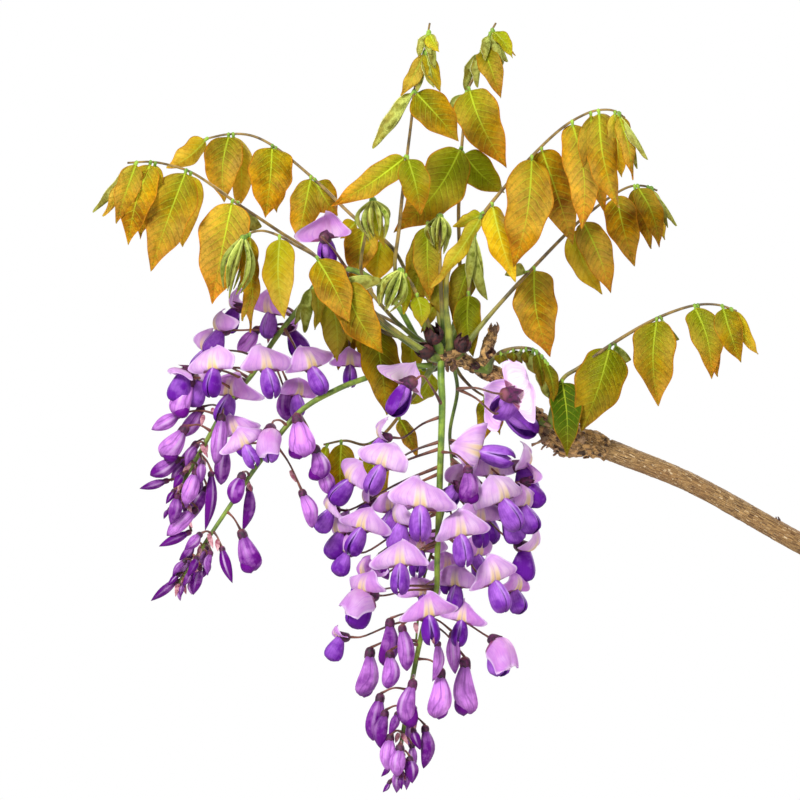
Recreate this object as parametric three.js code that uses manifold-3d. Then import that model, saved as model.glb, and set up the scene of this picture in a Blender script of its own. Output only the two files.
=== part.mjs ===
// A flowering wisteria in a plain clay pot, in millimetres, +Z up. The origin is the centre of the pot's
// underside, +X is to the right and +Y is away from the viewer. The stem leans to the left, and every leaf
// and flower raceme hangs from one cluster of flowering spurs at its end.
import * as THREE from "three";
import { mergeVertices } from "three/addons/utils/BufferGeometryUtils.js";
import Module from "manifold-3d";

// ---- Driving dimensions ----
const GAP = 0.3; // between pieces that touch

const POT_HEIGHT = 190;
const POT_BASE_RADIUS = 78;
const POT_TOP_RADIUS = 104;
const POT_RIM_RADIUS = 110;
const POT_RIM_HEIGHT = 30;
const POT_WALL = 7;
const POT_FLOOR = 12;
const POT_SIDES = 30;
const DRAIN_HOLES = 3;
const DRAIN_HOLE_RADIUS = 6;
const DRAIN_HOLE_CIRCLE = 36;
const SOIL_TOP = 164;
const SOIL_CROWN = 4;

const CLUSTER = new THREE.Vector3(-252, 0, 406); // the spurs that carry the leaves and racemes
const LEAF_STALK_RADIUS = 1.0;
const LEAFLET_THICKNESS = 1.8; // at its middle; the rim is sharp
const FLOWER_STALK_RADIUS = 0.75;
const BUD_SIDES = 4;

const COLOURS = {
  clay: 0xb5673f,
  soil: 0x3a2a1e,
  bark: 0x8a7358,
  leaf: 0xa8902a,
  youngLeaf: 0x8fa63a,
  stalk: 0x8fa040,
  petal: 0xc9a3e8,
};

// ---- Shared shapes ----
const wasm = await Module();
wasm.setup();

function solid(geometry) {
  const bare = geometry.clone();
  bare.deleteAttribute("normal");
  bare.deleteAttribute("uv");
  const merged = mergeVertices(bare, 1e-4);
  return new wasm.Manifold(
    new wasm.Mesh({
      numProp: 3,
      vertProperties: new Float32Array(merged.attributes.position.array),
      triVerts: new Uint32Array(merged.index.array),
    }),
  );
}

function geometryOf(body) {
  const mesh = body.getMesh();
  const geometry = new THREE.BufferGeometry();
  geometry.setAttribute("position", new THREE.BufferAttribute(mesh.vertProperties, 3));
  geometry.setIndex(new THREE.BufferAttribute(mesh.triVerts, 1));
  return geometry;
}

function meshOf(positions, faces) {
  const geometry = new THREE.BufferGeometry();
  geometry.setAttribute("position", new THREE.Float32BufferAttribute(positions, 3));
  geometry.setIndex(faces);
  return geometry;
}

function joined(bodies) {
  return bodies.reduce((whole, body) => whole.add(body));
}

const group = new THREE.Group();

function addPiece(name, body, colour, roughness) {
  const material = new THREE.MeshStandardMaterial({ color: colour, roughness, metalness: 0 });
  const mesh = new THREE.Mesh(geometryOf(body), material);
  mesh.name = name;
  group.add(mesh);
}

function point(x, y, z) {
  return new THREE.Vector3(x, y, z).add(CLUSTER);
}

// A round limb along a smooth curve through the points, closed at both ends. The radii are spread evenly
// over the points and eased between them. The clearance moves the whole surface out.
function limb(points, radii, sides, steps, clearance = 0) {
  const path = new THREE.CatmullRomCurve3(points, false, "centripetal");
  const normal = new THREE.Vector3(0.1, 1, 0.2);
  const positions = [];
  const faces = [];
  for (let step = 0; step <= steps; step++) {
    const along = step / steps;
    const tangent = path.getTangent(along);
    const beyondEnd = step === 0 ? -clearance : step === steps ? clearance : 0;
    const centre = path.getPoint(along).addScaledVector(tangent, beyondEnd);
    normal.addScaledVector(tangent, -normal.dot(tangent)).normalize();
    const binormal = tangent.clone().cross(normal);
    const place = along * (radii.length - 1);
    const before = Math.min(Math.floor(place), radii.length - 2);
    const radius = THREE.MathUtils.lerp(radii[before], radii[before + 1], place - before) + clearance;
    for (let side = 0; side < sides; side++) {
      const angle = (2 * Math.PI * side) / sides;
      const rim = centre
        .clone()
        .addScaledVector(normal, radius * Math.cos(angle))
        .addScaledVector(binormal, radius * Math.sin(angle));
      positions.push(rim.x, rim.y, rim.z);
    }
  }
  for (let step = 0; step < steps; step++) {
    for (let side = 0; side < sides; side++) {
      const a = step * sides + side;
      const b = step * sides + ((side + 1) % sides);
      faces.push(a, b, a + sides, b, b + sides, a + sides);
    }
  }
  const last = steps * sides;
  for (let side = 1; side < sides - 1; side++) {
    faces.push(0, side + 1, side);
    faces.push(last, last + side, last + side + 1);
  }
  return solid(meshOf(positions, faces));
}

// A thin closed blade: its rim lies in the XY plane, and it swells to the thickness at its middle.
function blade(rim, middle, thickness) {
  const positions = rim.flatMap(([x, y]) => [x, y, 0]);
  positions.push(0, middle, 0.5 * thickness, 0, middle, -0.5 * thickness);
  const front = rim.length;
  const faces = rim.flatMap((_, i) => {
    const next = (i + 1) % rim.length;
    return [i, next, front, next, i, front + 1];
  });
  return meshOf(positions, faces);
}

function ellipsoid(centre, radii, around, rings) {
  const geometry = new THREE.SphereGeometry(1, around, rings);
  geometry.scale(radii.x, radii.y, radii.z);
  geometry.translate(centre.x, centre.y, centre.z);
  return solid(geometry);
}

// ---- Pot: a thrown clay pot with a thick rim, and drain holes to the sides of its middle ----
function potBody() {
  const profile = [
    [0, 0],
    [POT_BASE_RADIUS, 0],
    [POT_TOP_RADIUS, POT_HEIGHT - POT_RIM_HEIGHT],
    [POT_RIM_RADIUS, POT_HEIGHT - POT_RIM_HEIGHT + 2],
    [POT_RIM_RADIUS + 2, POT_HEIGHT - 3],
    [POT_RIM_RADIUS - 1, POT_HEIGHT],
    [POT_TOP_RADIUS - 4, POT_HEIGHT],
    [POT_TOP_RADIUS - POT_WALL, POT_HEIGHT - POT_RIM_HEIGHT],
    [POT_BASE_RADIUS - POT_WALL, POT_FLOOR],
    [0, POT_FLOOR],
  ].map(([radius, height]) => new THREE.Vector2(radius, height));
  const lathe = new THREE.LatheGeometry(profile, POT_SIDES);
  lathe.rotateX(Math.PI / 2);
  let body = solid(lathe);
  for (let hole = 0; hole < DRAIN_HOLES; hole++) {
    const angle = (2 * Math.PI * (hole + 0.5)) / DRAIN_HOLES;
    const cutter = new THREE.CylinderGeometry(DRAIN_HOLE_RADIUS, DRAIN_HOLE_RADIUS, 4 * POT_FLOOR, 10);
    cutter.rotateX(Math.PI / 2);
    cutter.translate(DRAIN_HOLE_CIRCLE * Math.cos(angle), DRAIN_HOLE_CIRCLE * Math.sin(angle), 0);
    body = body.subtract(solid(cutter));
  }
  return body;
}

addPiece("pot", potBody(), COLOURS.clay, 0.85);

// ---- Woody stem: root flare, leaning stem, knot, and the spurs that flower ----
const STEM_PATH = [
  point(263, 0, -256),
  point(266, 2, -234),
  point(275, 4, -205),
  point(276, 2, -176),
  point(258, 0, -144),
  point(224, 0, -117),
  point(182, 0, -93),
  point(142, 0, -73.2),
  point(98.4, 0, -49.2),
  point(66, 0, -36),
];
const STEM_RADII = [13, 11.5, 9.5, 8.5, 7.5, 6.2, 5, 4.2, 4, 4.4];
const KNOT_PATH = [point(70, 0, -37), point(58, -0.5, -33), point(48, 0, -32), point(40, 0.5, -28)];
const KNOT_RADII = [4.4, 7.2, 6.6, 4.6];
const SPUR_PATH = [point(44, 0, -30), point(30, 1, -17), point(20, 1, -6), point(9, 0, -1), point(2, 0, 2)];
const SPUR_RADII = [4.6, 4.2, 5, 3.8, 4.4];
const SPUR_HEAD = { centre: point(-1, 0, 3), radii: new THREE.Vector3(8.5, 8.5, 7.5) };
const SIDE_SPUR_PATH = [point(16, 2, -3), point(17, 3, 5), point(19.5, 3, 12)];
const SIDE_SPUR_RADII = [3.4, 2.6, 2.2];
const ROOT_RADII = [8, 5, 2.5];
const ROOTS = [
  { turn: 15, reach: 52 },
  { turn: 95, reach: 40 },
  { turn: 170, reach: 56 },
  { turn: 235, reach: 44 },
  { turn: 305, reach: 50 },
];

// Each root leaves the foot of the stem and dips under the soil.
function rootPath({ turn, reach }) {
  const angle = THREE.MathUtils.degToRad(turn);
  const foot = STEM_PATH[0];
  const outward = new THREE.Vector3(Math.cos(angle), Math.sin(angle), 0);
  return [
    new THREE.Vector3(foot.x, foot.y, SOIL_TOP + 12),
    new THREE.Vector3(foot.x, foot.y, SOIL_TOP + 3).addScaledVector(outward, 0.4 * reach),
    new THREE.Vector3(foot.x, foot.y, SOIL_TOP - 10).addScaledVector(outward, reach),
  ];
}

// The spurs at the end of the stem, their surface moved out by the clearance.
function spurs(clearance) {
  const head = SPUR_HEAD.radii.clone().addScalar(clearance);
  return joined([
    limb(KNOT_PATH, KNOT_RADII, 7, 4, clearance),
    limb(SPUR_PATH, SPUR_RADII, 6, 6, clearance),
    limb(SIDE_SPUR_PATH, SIDE_SPUR_RADII, 5, 2, clearance),
    ellipsoid(SPUR_HEAD.centre, head, 8, 6),
  ]);
}

// The stem and its roots, their surface moved out by the clearance.
function stemAndRoots(clearance) {
  return joined([
    limb(STEM_PATH, STEM_RADII, 8, 18, clearance),
    ...ROOTS.map((root) => limb(rootPath(root), ROOT_RADII, 6, 3, clearance)),
  ]);
}

const spurSpace = spurs(GAP);
const rootSpace = stemAndRoots(GAP);
addPiece("woody_stem", joined([stemAndRoots(0), spurs(0)]), COLOURS.bark, 0.9);

// ---- Soil: fills the pot, crowned a little, and open around the wood ----
function soilBody() {
  const slope = (POT_TOP_RADIUS - POT_BASE_RADIUS) / (POT_HEIGHT - POT_RIM_HEIGHT - POT_FLOOR);
  const bottom = POT_BASE_RADIUS - POT_WALL - 2 * GAP;
  const shoulder = POT_HEIGHT - POT_RIM_HEIGHT - 2;
  const profile = [
    [0, POT_FLOOR + GAP],
    [bottom, POT_FLOOR + GAP],
    [bottom + slope * (shoulder - POT_FLOOR), shoulder],
    [0.6 * POT_TOP_RADIUS, SOIL_TOP + 0.5 * SOIL_CROWN],
    [0, SOIL_TOP + SOIL_CROWN],
  ].map(([radius, height]) => new THREE.Vector2(radius, height));
  const lathe = new THREE.LatheGeometry(profile, POT_SIDES);
  lathe.rotateX(Math.PI / 2);
  return solid(lathe).subtract(rootSpace);
}

addPiece("soil", soilBody(), COLOURS.soil, 1);

// ---- Leaves: a thin stalk with leaflets hanging from it ----
// A stalk is a list of points from the cluster. A leaflet is the place on the stalk that it hangs from
// [x, z], its tip [x, y, z], its width, and how far its blade is turned away from the viewer, in degrees.
// The lean is how much further from the viewer the far end of the leaf arches.
const leaves = {
  leaf_left_back: {
    lean: 30,
    stalk: [
      [-5, 5, 4], [-12, 8, 26], [-20.8, 11, 44.8], [-35.6, 14, 56.8], [-54, 17, 74.4],
      [-70.4, 19, 87.6], [-79, 20, 91.5], [-87.6, 20, 92], [-99.6, 21, 89.6],
    ],
    leaflets: [
      { from: [-99.6, 89.6], tip: [-113, 19, 78.4], width: 10, turn: 30 },
      { from: [-88, 92], tip: [-89.2, 16, 64], width: 16, turn: 0 },
      { from: [-86, 92], tip: [-83.6, 26, 61.6], width: 12, turn: 20 },
      { from: [-70.4, 87.6], tip: [-72.4, 15, 57.6], width: 18.4, turn: 0 },
      { from: [-69, 86.5], tip: [-68, 26, 60], width: 14, turn: 20 },
      { from: [-54, 74.4], tip: [-59.2, 12, 46.8], width: 13, turn: 0 },
      { from: [-53, 73.5], tip: [-43.2, 20, 58.4], width: 13, turn: 10 },
      { from: [-35.6, 56.8], tip: [-42, 12, 49], width: 8, turn: 20 },
      { from: [-32, 54], tip: [-36, 10, 33], width: 14, turn: 0 },
      { from: [-26, 49], tip: [-27, 16, 32], width: 15, turn: 10 },
    ],
  },
  leaf_left_front: {
    lean: -24,
    stalk: [
      [-7, -3, 2], [-11.6, -5, 5.2], [-24, -8, 13.6], [-38, -11, 27.5], [-52, -14, 41.6],
      [-66.4, -16, 51.2], [-83.2, -17, 62.4], [-99.6, -17, 73.6], [-106, -17, 76],
      [-115.6, -17, 78], [-125.6, -16, 77.6],
    ],
    leaflets: [
      { from: [-125.6, 77.6], tip: [-139.2, -14, 58], width: 5, turn: 50 },
      { from: [-125, 77.6], tip: [-135.2, -18, 56.4], width: 7, turn: 30 },
      { from: [-124, 77.7], tip: [-130, -20, 53.6], width: 10, turn: 10 },
      { from: [-116, 78], tip: [-125.2, -22, 45.2], width: 13.6, turn: 0 },
      { from: [-114, 77.8], tip: [-121, -8, 48], width: 11, turn: 20 },
      { from: [-102.4, 74.8], tip: [-116.4, -22, 34.8], width: 18, turn: 0 },
      { from: [-101, 74.3], tip: [-104.4, -8, 44.8], width: 14, turn: 15 },
      { from: [-84, 63], tip: [-92.4, -22, 22], width: 20.8, turn: 0 },
      { from: [-82, 61.8], tip: [-73, -9, 53], width: 10, turn: 60 },
    ],
  },
  leaf_left_short: {
    lean: -8,
    stalk: [
      [-5, -6, 1], [-24, -17, 15], [-40, -24, 30.8], [-50.8, -28, 40.4], [-59.2, -30, 45.2],
      [-65.6, -32, 48.8], [-72.4, -33, 50.8], [-77.6, -34, 49.6], [-81.6, -34, 46.8],
    ],
    leaflets: [
      { from: [-81.6, 46.8], tip: [-87.6, -36, 26.4], width: 6, turn: 60 },
      { from: [-81, 47.2], tip: [-85.2, -31, 26], width: 5, turn: 60 },
      { from: [-80, 48], tip: [-81.2, -38, 24], width: 6, turn: 60 },
      { from: [-79, 48.7], tip: [-80.4, -28, 15.2], width: 8, turn: 30 },
      { from: [-77.6, 49.6], tip: [-77.6, -26, 10.8], width: 8, turn: 30 },
      { from: [-65.6, 48.8], tip: [-63.6, -35, 16], width: 13, turn: 10 },
      { from: [-50.8, 40.4], tip: [-38, -34, 14.8], width: 15, turn: 0 },
      { from: [-40, 30.8], tip: [-24.8, -29, 2.4], width: 16, turn: 0 },
      { from: [-41, 31.6], tip: [-25.2, -19, 32], width: 8, turn: 40 },
    ],
  },
  leaf_left_dark: {
    lean: 0,
    stalk: [[-7.5, -0.5, 4.5], [-14, -2, 8], [-24, -3, 11], [-36, -4, 20], [-46, -5, 27], [-53, -6, 30.5]],
    leaflets: [
      { from: [-53, 30.5], tip: [-60, -4, 14], width: 5, turn: 50 },
      { from: [-53, 30.5], tip: [-56, -8, 10.8], width: 7, turn: 40 },
      { from: [-52, 30], tip: [-52, -10, 12], width: 6, turn: 30 },
      { from: [-46, 27], tip: [-43.2, -9, -0.8], width: 12, turn: 10 },
      { from: [-40, 23], tip: [-37.6, -4, 6.8], width: 9, turn: 30 },
      { from: [-28, 14], tip: [-23.2, -10, -22], width: 16, turn: 0 },
    ],
  },
  leaf_top_left: {
    lean: -24,
    stalk: [
      [-4, -3, 8], [-10, -4, 17], [-18, -4.5, 28], [-20, -5, 36.8], [-18.4, -5, 52],
      [-17.2, -4, 64.4], [-15.2, -3, 81.2], [-13.2, -3, 97.6], [-12.4, -3, 106.8],
      [-9.2, -3, 115.6], [-7.6, -3, 125.6], [-6, -3, 134.8],
    ],
    leaflets: [
      { from: [-15.2, 81.6], tip: [-45.6, -6, 61.2], width: 11, turn: 25 },
      { from: [-15, 81], tip: [-10.4, -8, 59.6], width: 14, turn: 20 },
      { from: [-12.4, 107.4], tip: [-28, -4, 83.2], width: 5.6, turn: 50 },
      { from: [-12, 106.6], tip: [5.2, -8, 86.8], width: 15, turn: 0 },
      { from: [-8.6, 119], tip: [-18, -3, 105.2], width: 5.6, turn: 50 },
      { from: [-8, 120.8], tip: [-1.6, -6, 106.8], width: 5.6, turn: 40 },
      { from: [-6.8, 130.8], tip: [-10, -2, 121.6], width: 4, turn: 50 },
      { from: [-6.6, 131.4], tip: [-2.8, -6, 115.6], width: 4, turn: 40 },
      { from: [-6, 134.8], tip: [-0.4, -3, 123], width: 4, turn: 30 },
    ],
  },
  leaf_top_right: {
    lean: 30,
    stalk: [
      [2, 5, 6], [4.4, 7, 15.6], [6, 9, 30.8], [5.6, 9, 62.4], [6.8, 8, 74.4], [6.8, 7, 84.4],
      [7.6, 7, 94.4], [8.4, 7, 106.8], [12.4, 7, 115.6], [14.8, 7, 124.8], [17.6, 7, 130.8],
      [21, 7, 137.6],
    ],
    leaflets: [
      { from: [6.8, 85.2], tip: [-20.4, 3, 51.2], width: 20, turn: 0 },
      { from: [7, 84.4], tip: [24, 8, 67.2], width: 14, turn: 20 },
      { from: [9.5, 109.4], tip: [24.8, 2, 77.2], width: 18, turn: 0 },
      { from: [7.8, 108], tip: [3.2, 10, 96.8], width: 5, turn: 50 },
      { from: [15.5, 126.4], tip: [22.8, 4, 105.6], width: 9.6, turn: 20 },
      { from: [14.4, 124], tip: [7.6, 9, 110], width: 4, turn: 50 },
      { from: [20, 136.5], tip: [24.4, 4, 119.6], width: 4, turn: 40 },
      { from: [20.6, 137], tip: [27.4, 8, 122], width: 4, turn: 40 },
      { from: [21, 137.6], tip: [28.8, 6, 130.8], width: 3.5, turn: 40 },
      { from: [20.3, 136.8], tip: [20.5, 11, 122], width: 3.5, turn: 50 },
    ],
  },
  leaf_right_upper: {
    lean: -26,
    stalk: [
      [2, -5, 6], [0.4, -8, 24], [2, -10, 37.6], [13.6, -12, 56], [22.4, -12, 67.2],
      [34.8, -11, 81.2], [46, -10, 91.6], [53, -10, 96], [59.2, -10, 98.4], [66.4, -10, 98.4],
      [71, -10, 95.5],
    ],
    leaflets: [
      { from: [18.4, 61.5], tip: [28, -14, 30.8], width: 11, turn: 10 },
      { from: [14.5, 57.5], tip: [-5.6, -15, 29.6], width: 4.5, turn: 40 },
      { from: [15, 58], tip: [3, -11, 59], width: 5, turn: 40 },
      { from: [34.8, 81.2], tip: [27.2, -17, 36.8], width: 19, turn: 0 },
      { from: [38, 84], tip: [50.8, 6, 46.4], width: 16, turn: 0 },
      { from: [49.6, 94], tip: [54, -16, 51.2], width: 15, turn: 0 },
      { from: [57, 97.6], tip: [63.2, -3, 58.8], width: 12, turn: 10 },
      { from: [61, 98.6], tip: [68.8, -15, 60], width: 13, turn: 0 },
      { from: [67.5, 98.1], tip: [70, -5, 72.4], width: 9, turn: 10 },
      { from: [68.5, 97.6], tip: [74, -13, 71], width: 7, turn: 20 },
      { from: [70.6, 95.8], tip: [76, -8, 75.6], width: 3.6, turn: 40 },
      { from: [71, 95.5], tip: [80, -11, 79], width: 3.6, turn: 40 },
    ],
  },
  leaf_right_middle: {
    lean: 20,
    stalk: [
      [5, -1, 1], [14, -4, 13.2], [28, -4, 29.2], [36, -3, 37.6], [48.4, -3, 50.4],
      [55.2, -3, 56.8], [68.4, -2, 66.8], [75.2, -2, 70], [80.8, -2, 70], [85.5, -2, 68.3],
    ],
    leaflets: [
      { from: [35.6, 37.2], tip: [42, -8, 1.2], width: 17.6, turn: 0 },
      { from: [34, 35.6], tip: [24, 2, 34], width: 7, turn: 50 },
      { from: [55.2, 56.8], tip: [66.4, -7, 26.8], width: 13, turn: 0 },
      { from: [51, 53], tip: [63, 3, 26.4], width: 12, turn: 10 },
      { from: [68.4, 66.8], tip: [76, -7, 37.6], width: 13.6, turn: 0 },
      { from: [77.6, 70], tip: [86, -7, 45.2], width: 9.6, turn: 0 },
      { from: [76, 70], tip: [83, 3, 44.8], width: 8, turn: 10 },
      { from: [81.5, 69.8], tip: [88.5, 2, 48.4], width: 7, turn: 10 },
      { from: [84.5, 68.8], tip: [89.6, -5, 53.2], width: 3.4, turn: 40 },
      { from: [85.5, 68.3], tip: [93.4, -2, 54], width: 3.4, turn: 40 },
    ],
  },
  leaf_right_low: {
    lean: -24,
    stalk: [
      [42, 2, -27], [43.5, -3, -17], [47.2, -8, -7.2], [53.2, -8, -3.2], [67.2, -8, 6.8],
      [84.8, -8, 16.8], [99.2, -8, 21.6], [108.4, -8, 21.6], [115.2, -8, 19.2],
    ],
    leaflets: [
      { from: [45, -11], tip: [48.4, -16, -38.4], width: 12, turn: 0 },
      { from: [65.6, 5.6], tip: [54, -14, -28.4], width: 20, turn: 0 },
      { from: [67.2, 6.8], tip: [74, -3, 0], width: 9, turn: 50 },
      { from: [84.4, 16.6], tip: [84.4, -14, -18.4], width: 17.6, turn: 0 },
      { from: [85.5, 17], tip: [93, -4, 8], width: 7, turn: 50 },
      { from: [98.4, 21.4], tip: [105.2, -14, -7.6], width: 13, turn: 0 },
      { from: [99.8, 21.7], tip: [108, -3, -6.8], width: 10, turn: 10 },
      { from: [109, 21.5], tip: [116.8, -12, -1.2], width: 11, turn: 0 },
      { from: [115.2, 19.2], tip: [123.6, -8, 2], width: 7, turn: 20 },
    ],
  },
  leaf_right_nodding: {
    lean: 0,
    stalk: [[17, -2, -4], [19, -9, 0], [22.8, -18, 3], [30, -22, 4.4], [36, -22, 4], [40, -21, -0.8]],
    leaflets: [
      { from: [24, 2], tip: [23, -24, -7], width: 5, turn: 40 },
      { from: [29, 4], tip: [28, -26, -7], width: 5, turn: 40 },
      { from: [33, 4.6], tip: [34, -27, -8], width: 5, turn: 40 },
      { from: [37, 3.2], tip: [39, -25, -12], width: 6, turn: 30 },
      { from: [40, -0.8], tip: [42.8, -21, -16], width: 4, turn: 40 },
    ],
  },
  leaf_centre_left: {
    lean: 0,
    stalk: [[-1, 1.5, 8], [-3, 2, 20], [-6, 1.5, 40], [-7, 1, 56]],
    leaflets: [
      { from: [-7, 55.8], tip: [-6, -1.5, 24], width: 12, turn: 0 },
      { from: [-6.8, 52], tip: [-16, 2, 31], width: 9, turn: 10 },
      { from: [-3.6, 24], tip: [-9.5, 0, 11], width: 6, turn: 20 },
    ],
  },
  leaf_centre_right: {
    lean: 4,
    stalk: [[3, 2, 8], [8, 4, 20], [11, 4, 40], [12, 3, 52]],
    leaflets: [
      { from: [12, 52], tip: [9.5, 0, 29], width: 5, turn: 40 },
      { from: [11.9, 51], tip: [15, 5, 27], width: 6, turn: 40 },
      { from: [10.5, 36], tip: [13, -1.5, 6], width: 9.6, turn: 0 },
    ],
  },
  leaf_young_left: {
    lean: -4,
    stalk: [
      [-6, 2, 4], [-12, 1.5, 9], [-20, 0, 16], [-30, 0, 28], [-33.6, 0, 36], [-31.2, -1, 52.8],
      [-28.5, -1, 66],
    ],
    leaflets: [
      { from: [-28.5, 65], tip: [-32.5, -2, 48], width: 4, turn: 40 },
      { from: [-28.5, 66], tip: [-29.5, -5, 50], width: 4, turn: 50 },
      { from: [-28.5, 66], tip: [-26, -5, 50.5], width: 4, turn: 50 },
      { from: [-28.5, 66], tip: [-22.5, -1, 50], width: 4, turn: 40 },
      { from: [-28.5, 66], tip: [-24, 3, 45], width: 6, turn: 20 },
    ],
  },
  leaf_young_centre: {
    lean: -6,
    stalk: [[-3, -6, 6], [-7.6, -9, 16.8], [-13.2, -11, 30], [-18, -12, 36.5]],
    leaflets: [
      { from: [-18, 36.5], tip: [-27, -13, 22.5], width: 5, turn: 40 },
      { from: [-18, 36.5], tip: [-24, -15, 20.5], width: 5, turn: 50 },
      { from: [-18, 36.5], tip: [-20.5, -16, 19], width: 5, turn: 50 },
      { from: [-16, 34], tip: [-16.5, -15, 18], width: 6, turn: 30 },
      { from: [-11.5, 26], tip: [-9.5, -15, 13], width: 8, turn: 10 },
    ],
  },
  leaf_young_right: {
    lean: 0,
    stalk: [[-0.5, -2.5, 8], [-1.5, -2.5, 25], [-2, -3, 44], [-2, -3.5, 59]],
    leaflets: [
      { from: [-2, 58], tip: [-5.8, -4, 46], width: 4, turn: 40 },
      { from: [-2, 59], tip: [-3.2, -7.5, 42], width: 4, turn: 50 },
      { from: [-2, 59], tip: [0.5, -6, 45], width: 4, turn: 40 },
    ],
  },
  leaf_low_left: {
    lean: 8,
    stalk: [
      [-4, 4, -1], [-9, 9, -9], [-18, 15, -22], [-26, 18, -31], [-32, 18, -34], [-40, 18, -32.4],
      [-48.8, 18, -34],
    ],
    leaflets: [
      { from: [-30, -33.4], tip: [-26, 16, -60], width: 12, turn: 0 },
      { from: [-42, -32.5], tip: [-42, 16, -58], width: 12, turn: 10 },
      { from: [-48.8, -34], tip: [-52, 19, -46], width: 5, turn: 30 },
    ],
  },
  leaf_low_right: {
    lean: 0,
    stalk: [[3, 4, -1], [7, 8, -7], [12, 10, -12], [16.8, 11, -15]],
    leaflets: [
      { from: [16, -14.6], tip: [15.2, 9, -32.8], width: 8, turn: 0 },
      { from: [16.8, -15], tip: [22, 14, -30], width: 7, turn: 20 },
    ],
  },
};

// The leaf stalk's point nearest to a place seen from the front, short of the stalk's very end.
function nearestFromFront(path, x, z) {
  const samples = path.getSpacedPoints(80).slice(0, -2);
  const away = (sample) => Math.hypot(sample.x - x - CLUSTER.x, sample.z - z - CLUSTER.z);
  return samples.reduce((best, sample) => (away(sample) < away(best) ? sample : best));
}

// A leaflet from its base to its tip, widest a quarter of the way down.
function leafletBody(base, tip, width, turn) {
  const length = base.distanceTo(tip);
  const half = 0.5 * width;
  const rim = [
    [0, 0],
    [-half, -0.25 * length],
    [-0.7 * half, -0.62 * length],
    [0, -length],
    [0.7 * half, -0.62 * length],
    [half, -0.25 * length],
  ];
  const leaflet = blade(rim, -0.4 * length, LEAFLET_THICKNESS);
  const along = base.clone().sub(tip).normalize();
  const viewer = new THREE.Vector3(0, -1, 0);
  const face = viewer.addScaledVector(along, -viewer.dot(along)).normalize();
  face.applyAxisAngle(along, THREE.MathUtils.degToRad(turn));
  const across = along.clone().cross(face);
  leaflet.applyMatrix4(new THREE.Matrix4().makeBasis(across, along, face).setPosition(base));
  return solid(leaflet);
}

function leafBody({ lean, stalk, leaflets }) {
  const reach = Math.max(...stalk.map(([x, , z]) => Math.hypot(x, z)));
  const leaning = ([x, y, z]) => point(x, y + lean * (Math.hypot(x, z) / reach) ** 2, z);
  const points = stalk.map(leaning);
  const path = new THREE.CatmullRomCurve3(points, false, "centripetal");
  const radii = [LEAF_STALK_RADIUS, 0.6 * LEAF_STALK_RADIUS];
  const blades = leaflets.map(({ from, tip, width, turn }) => {
    const base = nearestFromFront(path, from[0], from[1]);
    return leafletBody(base, leaning(tip), width, turn);
  });
  return joined([limb(points, radii, 4, points.length - 1), ...blades]).subtract(spurSpace);
}

for (const [name, leaf] of Object.entries(leaves)) {
  const colour = name.includes("young") ? COLOURS.youngLeaf : COLOURS.leaf;
  addPiece(name, leafBody(leaf), colour, 0.6);
}

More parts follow.
